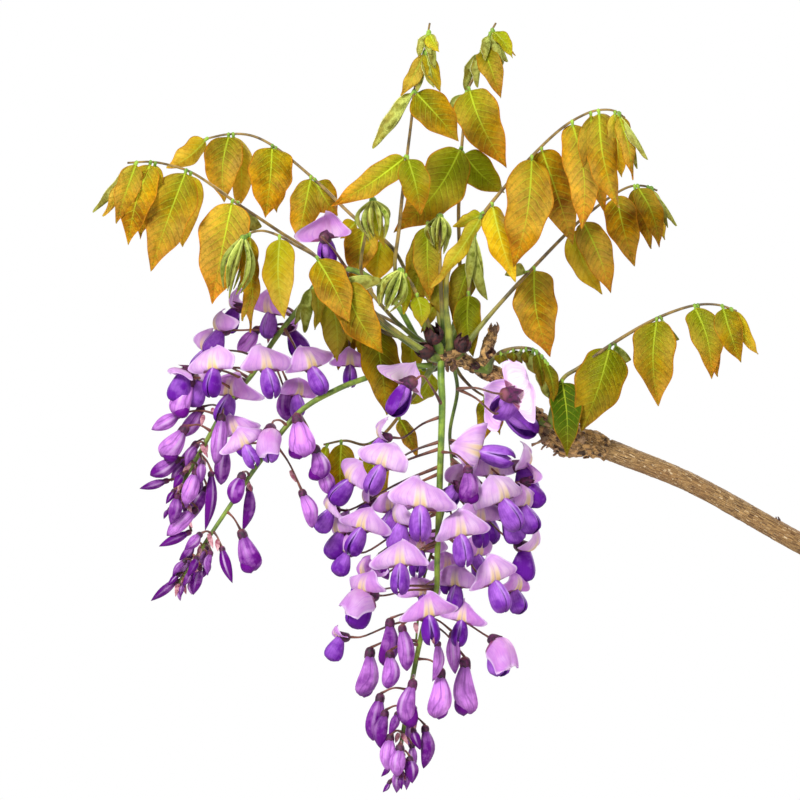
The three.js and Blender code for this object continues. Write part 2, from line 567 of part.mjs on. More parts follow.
// ---- Racemes: a tapering stalk with flower stalks and closed buds, and the open flowers ----
// A flower is where its calyx meets its flower stalk [x, y, z], the way it faces round the upright axis
// (0 is towards the viewer, 90 to the right), its nod, its roll, and its size. A bud runs from its calyx
// to its tip.
const racemes = {
  raceme_main: {
    stalk: [
      [-1.6, -5, -1], [-1.6, -9, -8], [-1.2, -10, -16], [-2, -11, -44], [-3.2, -12, -80], [-3.6, -12, -92],
      [-8, -12, -104], [-13.2, -12, -128], [-18, -14, -156], [-19.5, -15, -168],
    ],
    radii: [1.8, 1.6, 1.4, 1.2, 0.9],
    bareLength: 18,
    flowers: [
      { at: [-18, -15, -12.5], heading: -30, nod: 0, roll: 18, size: 0.95 },
      { at: [-21, -8, -31], heading: -80, nod: 0, roll: 0, size: 0.8 },
      { at: [-24, -16, -42.5], heading: -20, nod: 0, roll: 0, size: 1 },
      { at: [-34, -5, -49], heading: -55, nod: 0, roll: 0, size: 0.9 },
      { at: [-10, -27, -58], heading: 0, nod: 0, roll: 0, size: 1.15 },
      { at: [-31, -11, -67.5], heading: -30, nod: 0, roll: -15, size: 0.95 },
      { at: [-17, -23, -81], heading: -8, nod: 0, roll: 0, size: 1 },
      { at: [-36, 4, -77], heading: -70, nod: 0, roll: -10, size: 0.8 },
      { at: [-7, -25, -101.5], heading: 5, nod: 0, roll: -5, size: 0.95 },
      { at: [-34, -8, -100.5], heading: -40, nod: 0, roll: -25, size: 1 },
      { at: [-38, 5, -111], heading: -80, nod: 0, roll: 0, size: 0.7 },
    ],
    buds: [
      { from: [9, -24, -44], to: [8.5, -25, -57], width: 6 },
      { from: [-26, -4, -79], to: [-23, -3, -88], width: 6 },
      { from: [-17, -20, -107], to: [-15, -21, -123.6], width: 7.2 },
      { from: [-22, -10, -105], to: [-24, -10, -122], width: 8.4 },
      { from: [-30, -5, -117], to: [-33, -5, -134.4], width: 9.2 },
      { from: [-22, -17, -117.5], to: [-22.5, -18, -130.8], width: 8 },
      { from: [-3, -18, -113], to: [-4.5, -19, -128], width: 5 },
      { from: [-2, -14, -125], to: [-3.5, -14, -142.8], width: 10 },
      { from: [-26, -7, -135], to: [-29, -7, -152], width: 8 },
      { from: [-24, -15, -141], to: [-26, -16, -154.8], width: 6.8 },
      { from: [-13, -19, -129], to: [-16, -20, -145.6], width: 8.4 },
      { from: [-12.5, -8, -139], to: [-14.5, -8, -154.8], width: 4.6 },
      { from: [-22, -17, -150.5], to: [-23, -18, -163.6], width: 6.8 },
      { from: [-8, -13, -147], to: [-8, -13, -162.8], width: 6.4 },
      { from: [-18, -20, -154.5], to: [-19.5, -21, -165.6], width: 7 },
      { from: [-18, -15, -163], to: [-19.5, -15, -172.4], width: 4.8 },
      { from: [-14, -17, -159], to: [-13, -18, -168.4], width: 5.6 },
      { from: [-14.5, -12, -162], to: [-15.5, -11, -171.6], width: 3 },
    ],
  },
  raceme_rear: {
    stalk: [
      [3.4, 0, -2], [5, 4, -12], [2, 5, -29], [2.8, 5, -44], [0.5, 5, -56], [-4.4, 5, -74], [-8.8, 5, -89],
      [-10.8, 5, -104], [-11.6, 4, -113],
    ],
    radii: [1.6, 1.4, 1.2, 0.9],
    bareLength: 10,
    flowers: [
      { at: [23.5, -9, -12], heading: 60, nod: 20, roll: 0, size: 1.3 },
      { at: [9, -3, -37], heading: 70, nod: 0, roll: 0, size: 1.15 },
      { at: [20, -13, -55.5], heading: 30, nod: 0, roll: -20, size: 1.1 },
      { at: [26, 6, -42], heading: 80, nod: 10, roll: 0, size: 0.9 },
      { at: [5, -22, -69.5], heading: 10, nod: 0, roll: -5, size: 1.05 },
      { at: [15, 16, -63], heading: 30, nod: 0, roll: 0, size: 0.9 },
      { at: [17, -14, -88], heading: 25, nod: 0, roll: -12, size: 1.05 },
      { at: [28, 5, -73], heading: 75, nod: 30, roll: 0, size: 0.85 },
      { at: [7, -6, -104], heading: -5, nod: 0, roll: 8, size: 0.85 },
      { at: [18, -6, -111], heading: 40, nod: 50, roll: 0, size: 0.9 },
    ],
    buds: [
      { from: [3, -2, -110], to: [4, -2, -125.6], width: 6 },
      { from: [8, -5, -121], to: [9.5, -5, -141.6], width: 10 },
    ],
  },
  raceme_left_upper: {
    stalk: [
      [-6, 4, -0.5], [-12, 7, 10], [-22, 6, 26], [-34, 6, 35], [-46, 6, 36], [-58.4, 6, 20.8],
      [-68.4, 6, 8], [-76.8, 6, -5.2], [-86.8, 6, -17.2], [-93.6, 5, -28.8], [-96.8, 5, -34.8],
      [-101.2, 5, -42.4], [-105.6, 5, -50.4], [-108, 5, -60],
    ],
    radii: [1.5, 1.4, 1.2, 1],
    bareLength: 52,
    flowers: [
      { at: [-48.5, -3, 49], heading: 170, nod: 0, roll: 0, size: 1 },
      { at: [-86, 9, 12], heading: -70, nod: 0, roll: 0, size: 0.9 },
      { at: [-90.5, -6, -3.5], heading: -20, nod: 0, roll: 0, size: 0.95 },
      { at: [-72, -9, -3.5], heading: 10, nod: 0, roll: -18, size: 1 },
      { at: [-55, -4, -3], heading: 20, nod: 0, roll: -20, size: 0.95 },
      { at: [-38, 9, -2], heading: 0, nod: 0, roll: 0, size: 0.75 },
    ],
    buds: [
      { from: [-75.6, 14, 12], to: [-83, 15, 3], width: 7 },
      { from: [-102, 2, -9], to: [-108, 1, -22.4], width: 8.8 },
      { from: [-106.8, 6, -22], to: [-117.6, 6, -28], width: 6 },
      { from: [-95, 14, -3], to: [-107, 14, -9], width: 7 },
      { from: [-104.4, 0, -28], to: [-113.2, -1, -38.8], width: 9 },
      { from: [-107.6, 4, -40], to: [-118, 4, -46.4], width: 7 },
      { from: [-111.6, 6, -48.4], to: [-122.4, 6, -51.6], width: 3.6 },
      { from: [-89.2, -3, -23.2], to: [-91.6, -3, -42], width: 6.8 },
      { from: [-99.6, 0, -45.2], to: [-104, -1, -58], width: 7 },
      { from: [-107.2, 2, -54.8], to: [-109.6, 2, -66], width: 5.6 },
      { from: [-100.4, 7, -60.4], to: [-111.6, 7, -70.4], width: 6.5 },
      { from: [-102.8, 10, -69.2], to: [-114.8, 10, -74.8], width: 4 },
      { from: [-93.6, 4, -45.6], to: [-95.6, 4, -68.4], width: 4.8 },
    ],
  },
  raceme_left_lower: {
    stalk: [
      [-5, -1.5, -2], [-18, -1, -3.4], [-34.4, -3, -8.2], [-43.6, -6, -12], [-57.6, -10, -20.4],
      [-74.8, -14, -42], [-84.8, -15, -56.8], [-95.2, -15, -72.4], [-100.5, -15, -81],
    ],
    radii: [1.5, 1.4, 1.1, 0.9],
    bareLength: 44,
    flowers: [
      { at: [-81, -22, -33], heading: 0, nod: 0, roll: 0, size: 0.75 },
      { at: [-68.5, -21, -27], heading: 10, nod: 40, roll: 0, size: 0.8 },
    ],
    buds: [
      { from: [-58.8, -14, -23.8], to: [-56, -16, -38.8], width: 10.8 },
      { from: [-51.6, -10, -36], to: [-49.2, -10, -47.6], width: 8.8 },
      { from: [-49, -6, -44], to: [-46, -6, -53.6], width: 7 },
      { from: [-56.8, -14, -53.2], to: [-52.4, -14, -66.8], width: 7 },
      { from: [-81, -19, -46.5], to: [-84.4, -20, -57.2], width: 7.5 },
      { from: [-78, -12, -51.2], to: [-80.2, -11, -68.4], width: 5.2 },
      { from: [-80.8, -15, -69.6], to: [-75.6, -15, -84], width: 9 },
      { from: [-88.8, -17, -75.2], to: [-84.8, -18, -88.8], width: 4.5 },
      { from: [-102.4, -13, -78.4], to: [-105.6, -12, -86.8], width: 5 },
      { from: [-98, -16, -83.2], to: [-100.4, -16, -93.6], width: 5 },
      { from: [-105, -15, -86], to: [-117.2, -15, -96], width: 6 },
    ],
  },
};

// Where a flower stalk leaves the raceme's stalk: a little nearer its root than the flower's own place.
function stalkStart(path, bareLength, end) {
  const samples = path.getSpacedPoints(120);
  const step = path.getLength() / 120;
  const away = (sample) => sample.distanceTo(end);
  const nearest = samples.reduce((best, sample, i) => (away(sample) < away(samples[best]) ? i : best), 0);
  const lead = Math.round((0.45 * away(samples[nearest])) / step);
  const firstStep = Math.round(bareLength / step);
  return samples[Math.min(Math.max(nearest - lead, firstStep), 119)];
}

// The thin stalk of an open flower, which comes up to the calyx from behind.
function flowerStalk(start, end, behind) {
  const approach = end.clone().addScaledVector(behind, 4);
  return limb([start, approach, end], [FLOWER_STALK_RADIUS, FLOWER_STALK_RADIUS], 3, 2);
}

// A closed bud on its stalk: the stalk, the dark calyx, the swelling and the tip in one spindle.
function budBody(start, from, to, width) {
  const behind = from.clone().sub(to).normalize();
  const points = [
    start,
    from.clone().addScaledVector(behind, 2),
    from,
    from.clone().lerp(to, 0.4),
    to,
  ];
  const radii = [FLOWER_STALK_RADIUS, FLOWER_STALK_RADIUS, 0.3 * width, 0.5 * width, 0.2];
  return limb(points, radii, BUD_SIDES, 4);
}

// An open flower, facing -Y: a calyx, the banner standing up and back, and the wings and keel hanging.
function flowerBody(size) {
  const calyx = new THREE.CylinderGeometry(1.2, 2.8, 6, 5);
  calyx.translate(0, -3, 0);
  const banner = blade([[0, -7], [9, -2], [10.5, 2.5], [0, 6.5], [-10.5, 2.5], [-9, -2]], 0, 1.6);
  banner.rotateX(THREE.MathUtils.degToRad(55));
  banner.translate(0, -3.5, 5.2);
  const keel = new THREE.OctahedronGeometry(1, 0);
  keel.scale(3.8, 3.4, 7);
  keel.rotateX(THREE.MathUtils.degToRad(-27));
  keel.translate(0, -7.3, -5);
  for (const part of [calyx, banner, keel]) part.scale(size, size, size);
  return joined([calyx, banner, keel].map(solid));
}

function placement({ at, heading, nod, roll }) {
  const toRadians = THREE.MathUtils.degToRad;
  return new THREE.Matrix4()
    .makeTranslation(point(...at))
    .multiply(new THREE.Matrix4().makeRotationZ(toRadians(heading)))
    .multiply(new THREE.Matrix4().makeRotationX(toRadians(nod)))
    .multiply(new THREE.Matrix4().makeRotationY(toRadians(roll)));
}

for (const [name, raceme] of Object.entries(racemes)) {
  const points = raceme.stalk.map(([x, y, z]) => point(x, y, z));
  const path = new THREE.CatmullRomCurve3(points, false, "centripetal");
  const bodies = [limb(points, raceme.radii, 5, points.length)];
  raceme.flowers.forEach((flower, i) => {
    const place = placement(flower);
    const centre = new THREE.Vector3().setFromMatrixPosition(place);
    const behind = new THREE.Vector3(0, 1, 0).transformDirection(place);
    const end = centre.clone().addScaledVector(behind, GAP);
    bodies.push(flowerStalk(stalkStart(path, raceme.bareLength, end), end, behind));
    const body = geometryOf(flowerBody(flower.size)).applyMatrix4(place);
    const number = String(i + 1).padStart(2, "0");
    addPiece(name.replace("raceme", "flower") + "_" + number, solid(body), COLOURS.petal, 0.6);
  });
  for (const { from, to, width } of raceme.buds) {
    const base = point(...from);
    bodies.push(budBody(stalkStart(path, raceme.bareLength, base), base, point(...to), width));
  }
  addPiece(name, joined(bodies).subtract(spurSpace), COLOURS.stalk, 0.6);
}

export default group;
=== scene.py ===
# A flowering wisteria in a plain clay pot, in metres, +Z up. The pot stands on the origin, +X is to the
# right and +Y is away from the viewer. The stem leans to the left, and its leaves and flower racemes all
# hang from one cluster of flowering spurs at its end.
import math
import random

import bpy
import numpy as np
from mathutils import Matrix, Vector, noise


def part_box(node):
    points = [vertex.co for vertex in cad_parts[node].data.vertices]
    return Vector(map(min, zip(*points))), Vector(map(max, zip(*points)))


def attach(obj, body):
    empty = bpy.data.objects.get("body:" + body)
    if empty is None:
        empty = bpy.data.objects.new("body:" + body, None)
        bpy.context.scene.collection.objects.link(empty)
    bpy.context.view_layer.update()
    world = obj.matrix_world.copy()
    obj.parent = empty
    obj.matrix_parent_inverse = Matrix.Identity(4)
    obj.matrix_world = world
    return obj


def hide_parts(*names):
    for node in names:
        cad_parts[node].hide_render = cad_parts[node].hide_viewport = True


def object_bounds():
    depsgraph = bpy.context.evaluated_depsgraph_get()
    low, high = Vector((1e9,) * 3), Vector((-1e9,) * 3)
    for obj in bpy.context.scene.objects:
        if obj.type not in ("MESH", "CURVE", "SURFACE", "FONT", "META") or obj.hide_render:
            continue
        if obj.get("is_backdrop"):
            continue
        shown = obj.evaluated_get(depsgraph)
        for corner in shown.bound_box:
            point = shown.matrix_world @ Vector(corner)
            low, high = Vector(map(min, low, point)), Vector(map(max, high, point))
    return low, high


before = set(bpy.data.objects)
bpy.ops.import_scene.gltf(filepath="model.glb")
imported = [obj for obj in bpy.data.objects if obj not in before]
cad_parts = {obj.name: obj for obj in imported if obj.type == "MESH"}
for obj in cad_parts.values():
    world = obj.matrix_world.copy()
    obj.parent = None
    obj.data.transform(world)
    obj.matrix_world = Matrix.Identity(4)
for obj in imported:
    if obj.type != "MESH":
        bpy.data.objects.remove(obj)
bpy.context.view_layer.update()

# ---- Camera, floor and light ----
# A long lens looks level at the flowering end of the stem, so the pot stands below its view. The plant
# stands in a white studio on a pale matt table, under a large soft key, a fill and a light from behind.
MM = 0.001
TAU = 2 * math.pi
VIEW_CENTRE = (-270 * MM, 390 * MM)  # x and z of the middle of the view
VIEW_WIDTH = 320 * MM
CAMERA_AWAY = 3.0
SENSOR = 36
PLANT_MIDDLE = (-0.24, 0, 0.38)
FLOOR_RADIUS = 3.6
FLOOR_SIDES = 96
WHITE_AROUND = 0.45  # how brightly the white studio lights the plant, beside how bright it is to look at
LIGHTS = {  # where each light stands, its size and its power
    "key": ((-1.3, -1.9, 1.9), 0.6, 78),
    "fill": ((1.6, -1.8, 0.5), 1.2, 14),
    "back": ((0.9, 1.7, 1.5), 0.9, 48),
}


def new_object(name, data):
    made = bpy.data.objects.new(name, data)
    bpy.context.scene.collection.objects.link(made)
    return made


def mesh_object(name, points, faces, smooth=True):
    mesh = bpy.data.meshes.new(name)
    mesh.from_pydata(points, [], faces, shade_flat=not smooth)
    return new_object(name, mesh)


def turned(radius, height, turn):
    return radius * math.cos(turn), radius * math.sin(turn), height


def colour(red, green, blue):
    """A colour given as it looks on a screen, from 0 to 255, in Blender's linear values."""
    parts = [value / 255 for value in (red, green, blue)]
    return (*[p / 12.92 if p <= 0.04045 else ((p + 0.055) / 1.055) ** 2.4 for p in parts], 1)


def add_node(tree, kind, inputs=None, **settings):
    """A node of a tree. Its inputs are values, or other nodes' outputs or fields, by name or number."""
    node = tree.nodes.new(kind)
    for setting, value in settings.items():
        setattr(node, setting, value)
    for name, value in (inputs or {}).items():
        value = getattr(value, "socket", value)
        if isinstance(value, bpy.types.NodeSocket):
            tree.links.new(value, node.inputs[name])
        else:
            node.inputs[name].default_value = value
    return node


camera = new_object("camera", bpy.data.cameras.new("camera"))
camera.data.sensor_width = SENSOR
camera.data.lens = SENSOR * CAMERA_AWAY / VIEW_WIDTH
camera.data.clip_end = 50
camera.location = (VIEW_CENTRE[0], -CAMERA_AWAY, VIEW_CENTRE[1])
camera.rotation_euler = (math.radians(90), 0, 0)
bpy.context.scene.camera = camera
bpy.context.scene.view_settings.view_transform = "Standard"

world = bpy.data.worlds.new("studio")
bpy.context.scene.world = world
world.use_nodes = True
world.node_tree.nodes.clear()
seen = add_node(world.node_tree, "ShaderNodeLightPath").outputs["Is Camera Ray"]
strength = {"Value": seen, "To Min": WHITE_AROUND, "To Max": 1.0}
strength = add_node(world.node_tree, "ShaderNodeMapRange", strength).outputs[0]
white = {"Color": (1, 1, 1, 1), "Strength": strength}
white = add_node(world.node_tree, "ShaderNodeBackground", white)
add_node(world.node_tree, "ShaderNodeOutputWorld", {"Surface": white.outputs[0]})

for name, (place, size, power) in LIGHTS.items():
    light = new_object(name, bpy.data.lights.new(name, "AREA"))
    light.data.size = size
    light.data.energy = power
    light.location = place
    light.rotation_euler = (Vector(PLANT_MIDDLE) - Vector(place)).to_track_quat("-Z", "Y").to_euler()

floor_rim = [turned(FLOOR_RADIUS, 0, TAU * side / FLOOR_SIDES) for side in range(FLOOR_SIDES)]
floor = mesh_object("floor", floor_rim, [range(FLOOR_SIDES)], smooth=False)
matt = bpy.data.materials.new("matt_white")
matt.use_nodes = True
matt.node_tree.nodes["Principled BSDF"].inputs["Base Color"].default_value = colour(238, 238, 236)
matt.node_tree.nodes["Principled BSDF"].inputs["Roughness"].default_value = 0.9
floor.data.materials.append(matt)
floor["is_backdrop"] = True

# ---- Pot ----
# A thrown clay pot with a thick rolled rim and three drain holes, fired to a plain terracotta and never
# glazed. Watering has left a pale bloom of lime under the rim and round the foot.
POT_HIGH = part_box("pot")[1]
POT_HEIGHT = POT_HIGH.z
RIM_OUTSIDE = POT_HIGH.x
FOOT_RADIUS = 78 * MM
SHOULDER_RADIUS = 104 * MM
RIM_HEIGHT = 30 * MM
BELOW_RIM = POT_HEIGHT - RIM_HEIGHT
POT_WALL = 7 * MM
POT_FLOOR = 12 * MM
DRAIN_HOLES = 3
DRAIN_HOLE_RADIUS = 6 * MM
DRAIN_HOLE_CIRCLE = 36 * MM
LIME_HEIGHT = 152 * MM
POT_AROUND = 144
DRAIN_HOLE_AROUND = 32
WOBBLE = 0.35 * MM
THROWING_RING = 0.12 * MM


def apply_modifiers(piece):
    """Turns a piece and its modifiers into one plain mesh."""
    graph = bpy.context.evaluated_depsgraph_get()
    mesh = bpy.data.meshes.new_from_object(piece.evaluated_get(graph))
    piece.modifiers.clear()
    piece.data = mesh


def rounded(outline, radius, steps=4):
    """An outline of (radius, height) points with each inner corner turned into an arc."""
    path = [Vector(outline[0])]
    for before, corner, after in zip(outline, outline[1:], outline[2:]):
        corner = Vector(corner)
        back, on = Vector(before) - corner, Vector(after) - corner
        cut = min(radius, 0.45 * back.length, 0.45 * on.length)
        start, end = corner + back.normalized() * cut, corner + on.normalized() * cut
        for step in range(steps + 1):
            t = step / steps
            path.append((1 - t) ** 2 * start + 2 * t * (1 - t) * corner + t**2 * end)
    return path + [Vector(outline[-1])]


def divided(path, longest):
    """A path with points added until none are further apart than the longest step."""
    points = [path[0]]
    for start, end in zip(path, path[1:]):
        steps = max(1, math.ceil((end - start).length / longest))
        points += [start.lerp(end, step / steps) for step in range(1, steps + 1)]
    return points


def lathe(name, path, around, change):
    """A closed turned form. The path starts and ends on the axis, and change moves each point a little."""
    rows = path[1:-1]
    points = [change(*place, TAU * side / around) for place in rows for side in range(around)]
    points = [(0, 0, path[0].y), *points, (0, 0, path[-1].y)]
    sides = [(1 + side, 1 + (side + 1) % around) for side in range(around)]
    faces = [(0, after, side) for side, after in sides]
    top, last = (len(rows) - 1) * around, len(points) - 1
    for low in range(0, top, around):
        high = low + around
        faces += [(low + side, low + after, high + after, high + side) for side, after in sides]
    return mesh_object(name, points, faces + [(last, top + side, top + after) for side, after in sides])


def pot_surface(radius, height, turn):
    place = Vector((math.cos(turn), math.sin(turn), 7 * height))
    rings = THROWING_RING * math.sin(height / MM * 1.9 + 2 * noise.noise(place * 2))
    inside_rim = POT_FLOOR < height < POT_HEIGHT - 4 * MM
    return turned(radius + (WOBBLE * noise.noise(place) + rings) * inside_rim, height, turn)


pot_outline = [
    (0, 0), (FOOT_RADIUS, 0), (SHOULDER_RADIUS, BELOW_RIM), (RIM_OUTSIDE - 2 * MM, BELOW_RIM + 2 * MM),
    (RIM_OUTSIDE - 0.4 * MM, POT_HEIGHT - 3 * MM), (RIM_OUTSIDE - 3 * MM, POT_HEIGHT),
    (SHOULDER_RADIUS - 4 * MM, POT_HEIGHT), (SHOULDER_RADIUS - POT_WALL, BELOW_RIM),
    (FOOT_RADIUS - POT_WALL, POT_FLOOR), (0, POT_FLOOR),
]
pot = lathe("clay_pot", divided(rounded(pot_outline, 3.5 * MM), 3 * MM), POT_AROUND, pot_surface)
drill_outline = [(0, -1), (DRAIN_HOLE_RADIUS, -1), (DRAIN_HOLE_RADIUS, 2), (0, 2)]
drill_path = [Vector((radius, floors * POT_FLOOR)) for radius, floors in drill_outline]
drills = [lathe("drill", drill_path, DRAIN_HOLE_AROUND, turned) for hole in range(DRAIN_HOLES)]
for hole, drill in enumerate(drills):
    turn = TAU * (hole + 0.5) / DRAIN_HOLES
    drill.data.transform(Matrix.Translation(turned(DRAIN_HOLE_CIRCLE, 0, turn)))
    cut = pot.modifiers.new("drain_hole", "BOOLEAN")
    cut.operation = "DIFFERENCE"
    cut.object = drill
apply_modifiers(pot)
for drill in drills:
    bpy.data.objects.remove(drill)


class Field:
    """A value or colour that changes over a surface: a node's output that adds up like a number."""

    def __init__(self, socket):
        self.socket = socket
        self.tree = socket.id_data

    def maths(self, operation, other=0.5, swapped=False):
        inputs = {0: other, 1: self} if swapped else {0: self, 1: other}
        return Field(add_node(self.tree, "ShaderNodeMath", inputs, operation=operation).outputs[0])

    def __add__(self, other):
        return self.maths("ADD", other)

    def __sub__(self, other):
        return self.maths("SUBTRACT", other)

    def __rsub__(self, other):
        return self.maths("SUBTRACT", other, swapped=True)

    def __mul__(self, other):
        return self.maths("MULTIPLY", other)

    def __truediv__(self, other):
        return self.maths("DIVIDE", other)

    def __abs__(self):
        return self.maths("ABSOLUTE")

    def at_least(self, other):
        return self.maths("MAXIMUM", other)

    def at_most(self, other):
        return self.maths("MINIMUM", other)

    def span(self, low, high, to_low=0.0, to_high=1.0, smooth=True):
        """Brought from one span to another, and held at its ends."""
        steps = {"Value": self, "From Min": low, "From Max": high, "To Min": to_low, "To Max": to_high}
        kind = "SMOOTHSTEP" if smooth else "LINEAR"
        return Field(add_node(self.tree, "ShaderNodeMapRange", steps, interpolation_type=kind).outputs[0])

    def stretched(self, scale):
        return Field(add_node(self.tree, "ShaderNodeMapping", {"Vector": self, "Scale": scale}).outputs[0])

    def grain(self, scale, detail=3.0, roughness=0.55, distortion=0.0):
        """Noise over this place, from 0 to 1, its scale in grains for each metre or attribute unit."""
        steps = {"Vector": self, "Scale": scale, "Detail": detail, "Roughness": roughness}
        steps["Distortion"] = distortion
        return Field(add_node(self.tree, "ShaderNodeTexNoise", steps).outputs[0])

    def between(self, first, second, way="MIX", factor=None):
        """The mix of two colours by this field, each a field itself or what colour() takes."""
        first, second = (tone if isinstance(tone, Field) else colour(*tone) for tone in (first, second))
        inputs = {0: self if factor is None else factor, 6: first, 7: second}
        mixer = add_node(self.tree, "ShaderNodeMix", inputs, data_type="RGBA", blend_type=way)
        return Field(mixer.outputs[2])

    def coated(self, *coats):
        """This colour with coats over it, each (how far it covers, its colour)."""
        body = self
        for cover, tone in coats:
            body = cover.between(body, tone)
        return body

    def shaded(self, lightness):
        return self.between(self, lightness, "MULTIPLY", 1.0)


def object_place(tree):
    return Field(add_node(tree, "ShaderNodeTexCoord").outputs["Object"])


class Finish:
    """A material as it is made up, with its tree and its shader."""

    def __init__(self, name):
        self.material = bpy.data.materials.new(name)
        self.material.use_nodes = True
        self.tree = self.material.node_tree
        self.shader = self.tree.nodes["Principled BSDF"]

    def lay(self, body, roughness, height, strength, depth):
        """Lays on a colour, a roughness and a relief, which is a height, its strength and depth."""
        relief = {"Height": height, "Strength": strength, "Distance": depth}
        relief = Field(add_node(self.tree, "ShaderNodeBump", relief).outputs[0])
        for label, field in {"Base Color": body, "Roughness": roughness, "Normal": relief}.items():
            self.tree.links.new(field.socket, self.shader.inputs[label])

    def let_through(self, body, share):
        """Lets a share of the light through, as thin tissue does."""
        through = add_node(self.tree, "ShaderNodeBsdfTranslucent", {"Color": body})
        shaders = {0: share, 1: self.shader.outputs[0], 2: through.outputs[0]}
        whole = add_node(self.tree, "ShaderNodeMixShader", shaders)
        self.tree.links.new(whole.outputs[0], self.tree.nodes["Material Output"].inputs["Surface"])


clay = Finish("terracotta")
place = object_place(clay.tree)
height = Field(add_node(clay.tree, "ShaderNodeSeparateXYZ", {0: place}).outputs["Z"])
broad = place.grain(14, 5)
specks = place.grain(900, 2).span(0.63, 0.72)
streaks = place.stretched((12, 12, 420)).grain(1, 2)
bloom_and_painted_sheen = height.span(0.05, 0.0).at_least(abs(height - LIME_HEIGHT).span(0.016, 0.0))
bloom_and_painted_sheen = bloom_and_painted_sheen * place.grain(55, 6, 0.65).span(0.46, 0.7)
body = broad.span(0.3, 0.72).between((168, 84, 52), (203, 122, 82)).coated(
    (streaks.span(0.45, 0.75, 0, 0.35), (150, 76, 48)),
    (specks * 0.5, (112, 58, 40)),
    (bloom_and_painted_sheen * 0.75, (226, 208, 192)),
)
relief = place.grain(420, 4, 0.7) + streaks * 0.6
clay.lay(body, broad.span(0.2, 0.8, 0.78, 0.95), relief, 0.35, 0.4 * MM)
pot.data.materials.append(clay.material)
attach(pot, "root")
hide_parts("pot")

# ---- Potting soil ----
# Loose peaty compost that fills the pot to two fingers below its rim, heaped a little towards the stem.
# Crumbs of peat and pale grit lie over it, scattered by one tree of nodes.
SOIL_TOP = 164 * MM
SOIL_CROWN = 4 * MM
SOIL_GAP = 0.3 * MM
SOIL_ROUGHNESS = 1.6 * MM
SOIL_AROUND = 120
wall_slope = (SHOULDER_RADIUS - FOOT_RADIUS) / (BELOW_RIM - POT_FLOOR)
soil_edge = BELOW_RIM - 2 * MM
soil_low_radius = FOOT_RADIUS - POT_WALL - 2 * SOIL_GAP
soil_high_radius = soil_low_radius + wall_slope * (soil_edge - POT_FLOOR)


def soil_surface(radius, height, turn):
    x, y, height = turned(radius, height, turn)
    if height > soil_edge - 0.1 * MM:
        lumps = noise.fractal(Vector((x, y, 0)) / MM * 0.11, 0.9, 2.1, 4)
        height += SOIL_ROUGHNESS * lumps * min(1.0, (soil_high_radius - radius) / (6 * MM) + 0.3)
    return x, y, height


soil_outline = [
    (0, POT_FLOOR + SOIL_GAP), (soil_low_radius, POT_FLOOR + SOIL_GAP), (soil_high_radius, soil_edge),
    (0.6 * SHOULDER_RADIUS, SOIL_TOP + 0.5 * SOIL_CROWN), (0, SOIL_TOP + SOIL_CROWN),
]
soil_path = divided([Vector(p) for p in soil_outline], 2.2 * MM)
soil = lathe("potting_soil", soil_path, SOIL_AROUND, soil_surface)

peat = Finish("compost")
place = object_place(peat.tree)
mottle = place.grain(160, 6, 0.7)
fibres = place.grain(700, 2, distortion=1.5).span(0.62, 0.75)
dark = mottle.span(0.3, 0.7).between((36, 25, 18), (88, 64, 46)).coated((fibres * 0.6, (134, 104, 76)))
peat.lay(dark, mottle.span(0.2, 0.8, 0.85, 1.0), mottle, 0.8, 1 * MM)
soil.data.materials.append(peat.material)

grit = Finish("pale_grit")
place = object_place(grit.tree)
mottle = place.grain(300, 4)
pale = mottle.span(0.35, 0.65).between((196, 186, 170), (240, 236, 226))
grit.lay(pale, mottle.span(0.2, 0.8, 0.7, 0.9), place.grain(1500), 0.4, 0.3 * MM)


def crumb(name, flatness, seed):
    """One small crumb with a dozen faces, 1 mm in radius and lumpy, for scattering."""
    draw = random.Random(seed)
    corners = [(0, 0, 1), (0, 0, -1)] + [(math.cos(a), math.sin(a), 0) for a in (0, 1.1, 2.3, 3.4, 4.6, 5.5)]
    points = [[c * MM * draw.uniform(0.7, 1.25) for c in (x, y, z * flatness)] for x, y, z in corners]
    faces = [(0, 2 + i, 2 + (i + 1) % 6) for i in range(6)] + [(1, 2 + (i + 1) % 6, 2 + i) for i in range(6)]
    return mesh_object(name, points, faces, smooth=False)


def geometry_tree(name, inputs):
    """A geometry tree, what it is given and what it gives. Its inputs are {name: (kind, default)}."""
    tree = bpy.data.node_groups.new(name, "GeometryNodeTree")
    for label, (kind, default) in {"Geometry": ("Geometry", None), **inputs}.items():
        socket = tree.interface.new_socket(label, in_out="INPUT", socket_type="NodeSocket" + kind)
        if default is not None:
            socket.default_value = default
    tree.interface.new_socket("Geometry", in_out="OUTPUT", socket_type="NodeSocketGeometry")
    return tree, tree.nodes.new("NodeGroupInput").outputs, tree.nodes.new("NodeGroupOutput").inputs[0]


def named(tree, name, kind="FLOAT"):
    return Field(add_node(tree, "GeometryNodeInputNamedAttribute", {"Name": name}, data_type=kind).outputs[0])


def painted(tree, made, material, result, rest=None):
    """Ends a tree: what it has made, made real and painted, with the rest of the piece if there is any."""
    real = add_node(tree, "GeometryNodeRealizeInstances", {"Geometry": made})
    painting = {"Geometry": real.outputs[0], "Material": material}
    whole = add_node(tree, "GeometryNodeSetMaterial", painting)
    if rest:
        parts, whole = (whole.outputs[0], rest), add_node(tree, "GeometryNodeJoinGeometry")
        for part in parts:
            tree.links.new(part, whole.inputs[0])
    tree.links.new(whole.outputs[0], result)


def use_tree(piece, tree, values):
    """Puts a piece through a geometry tree, with its inputs set by their sockets' identifiers."""
    modifier = piece.modifiers.new(tree.name, "NODES")
    modifier.node_group = tree
    for socket in tree.interface.items_tree:
        if socket.item_type == "SOCKET" and socket.in_out == "INPUT" and socket.name in values:
            modifier[socket.identifier] = values[socket.name]
    apply_modifiers(piece)


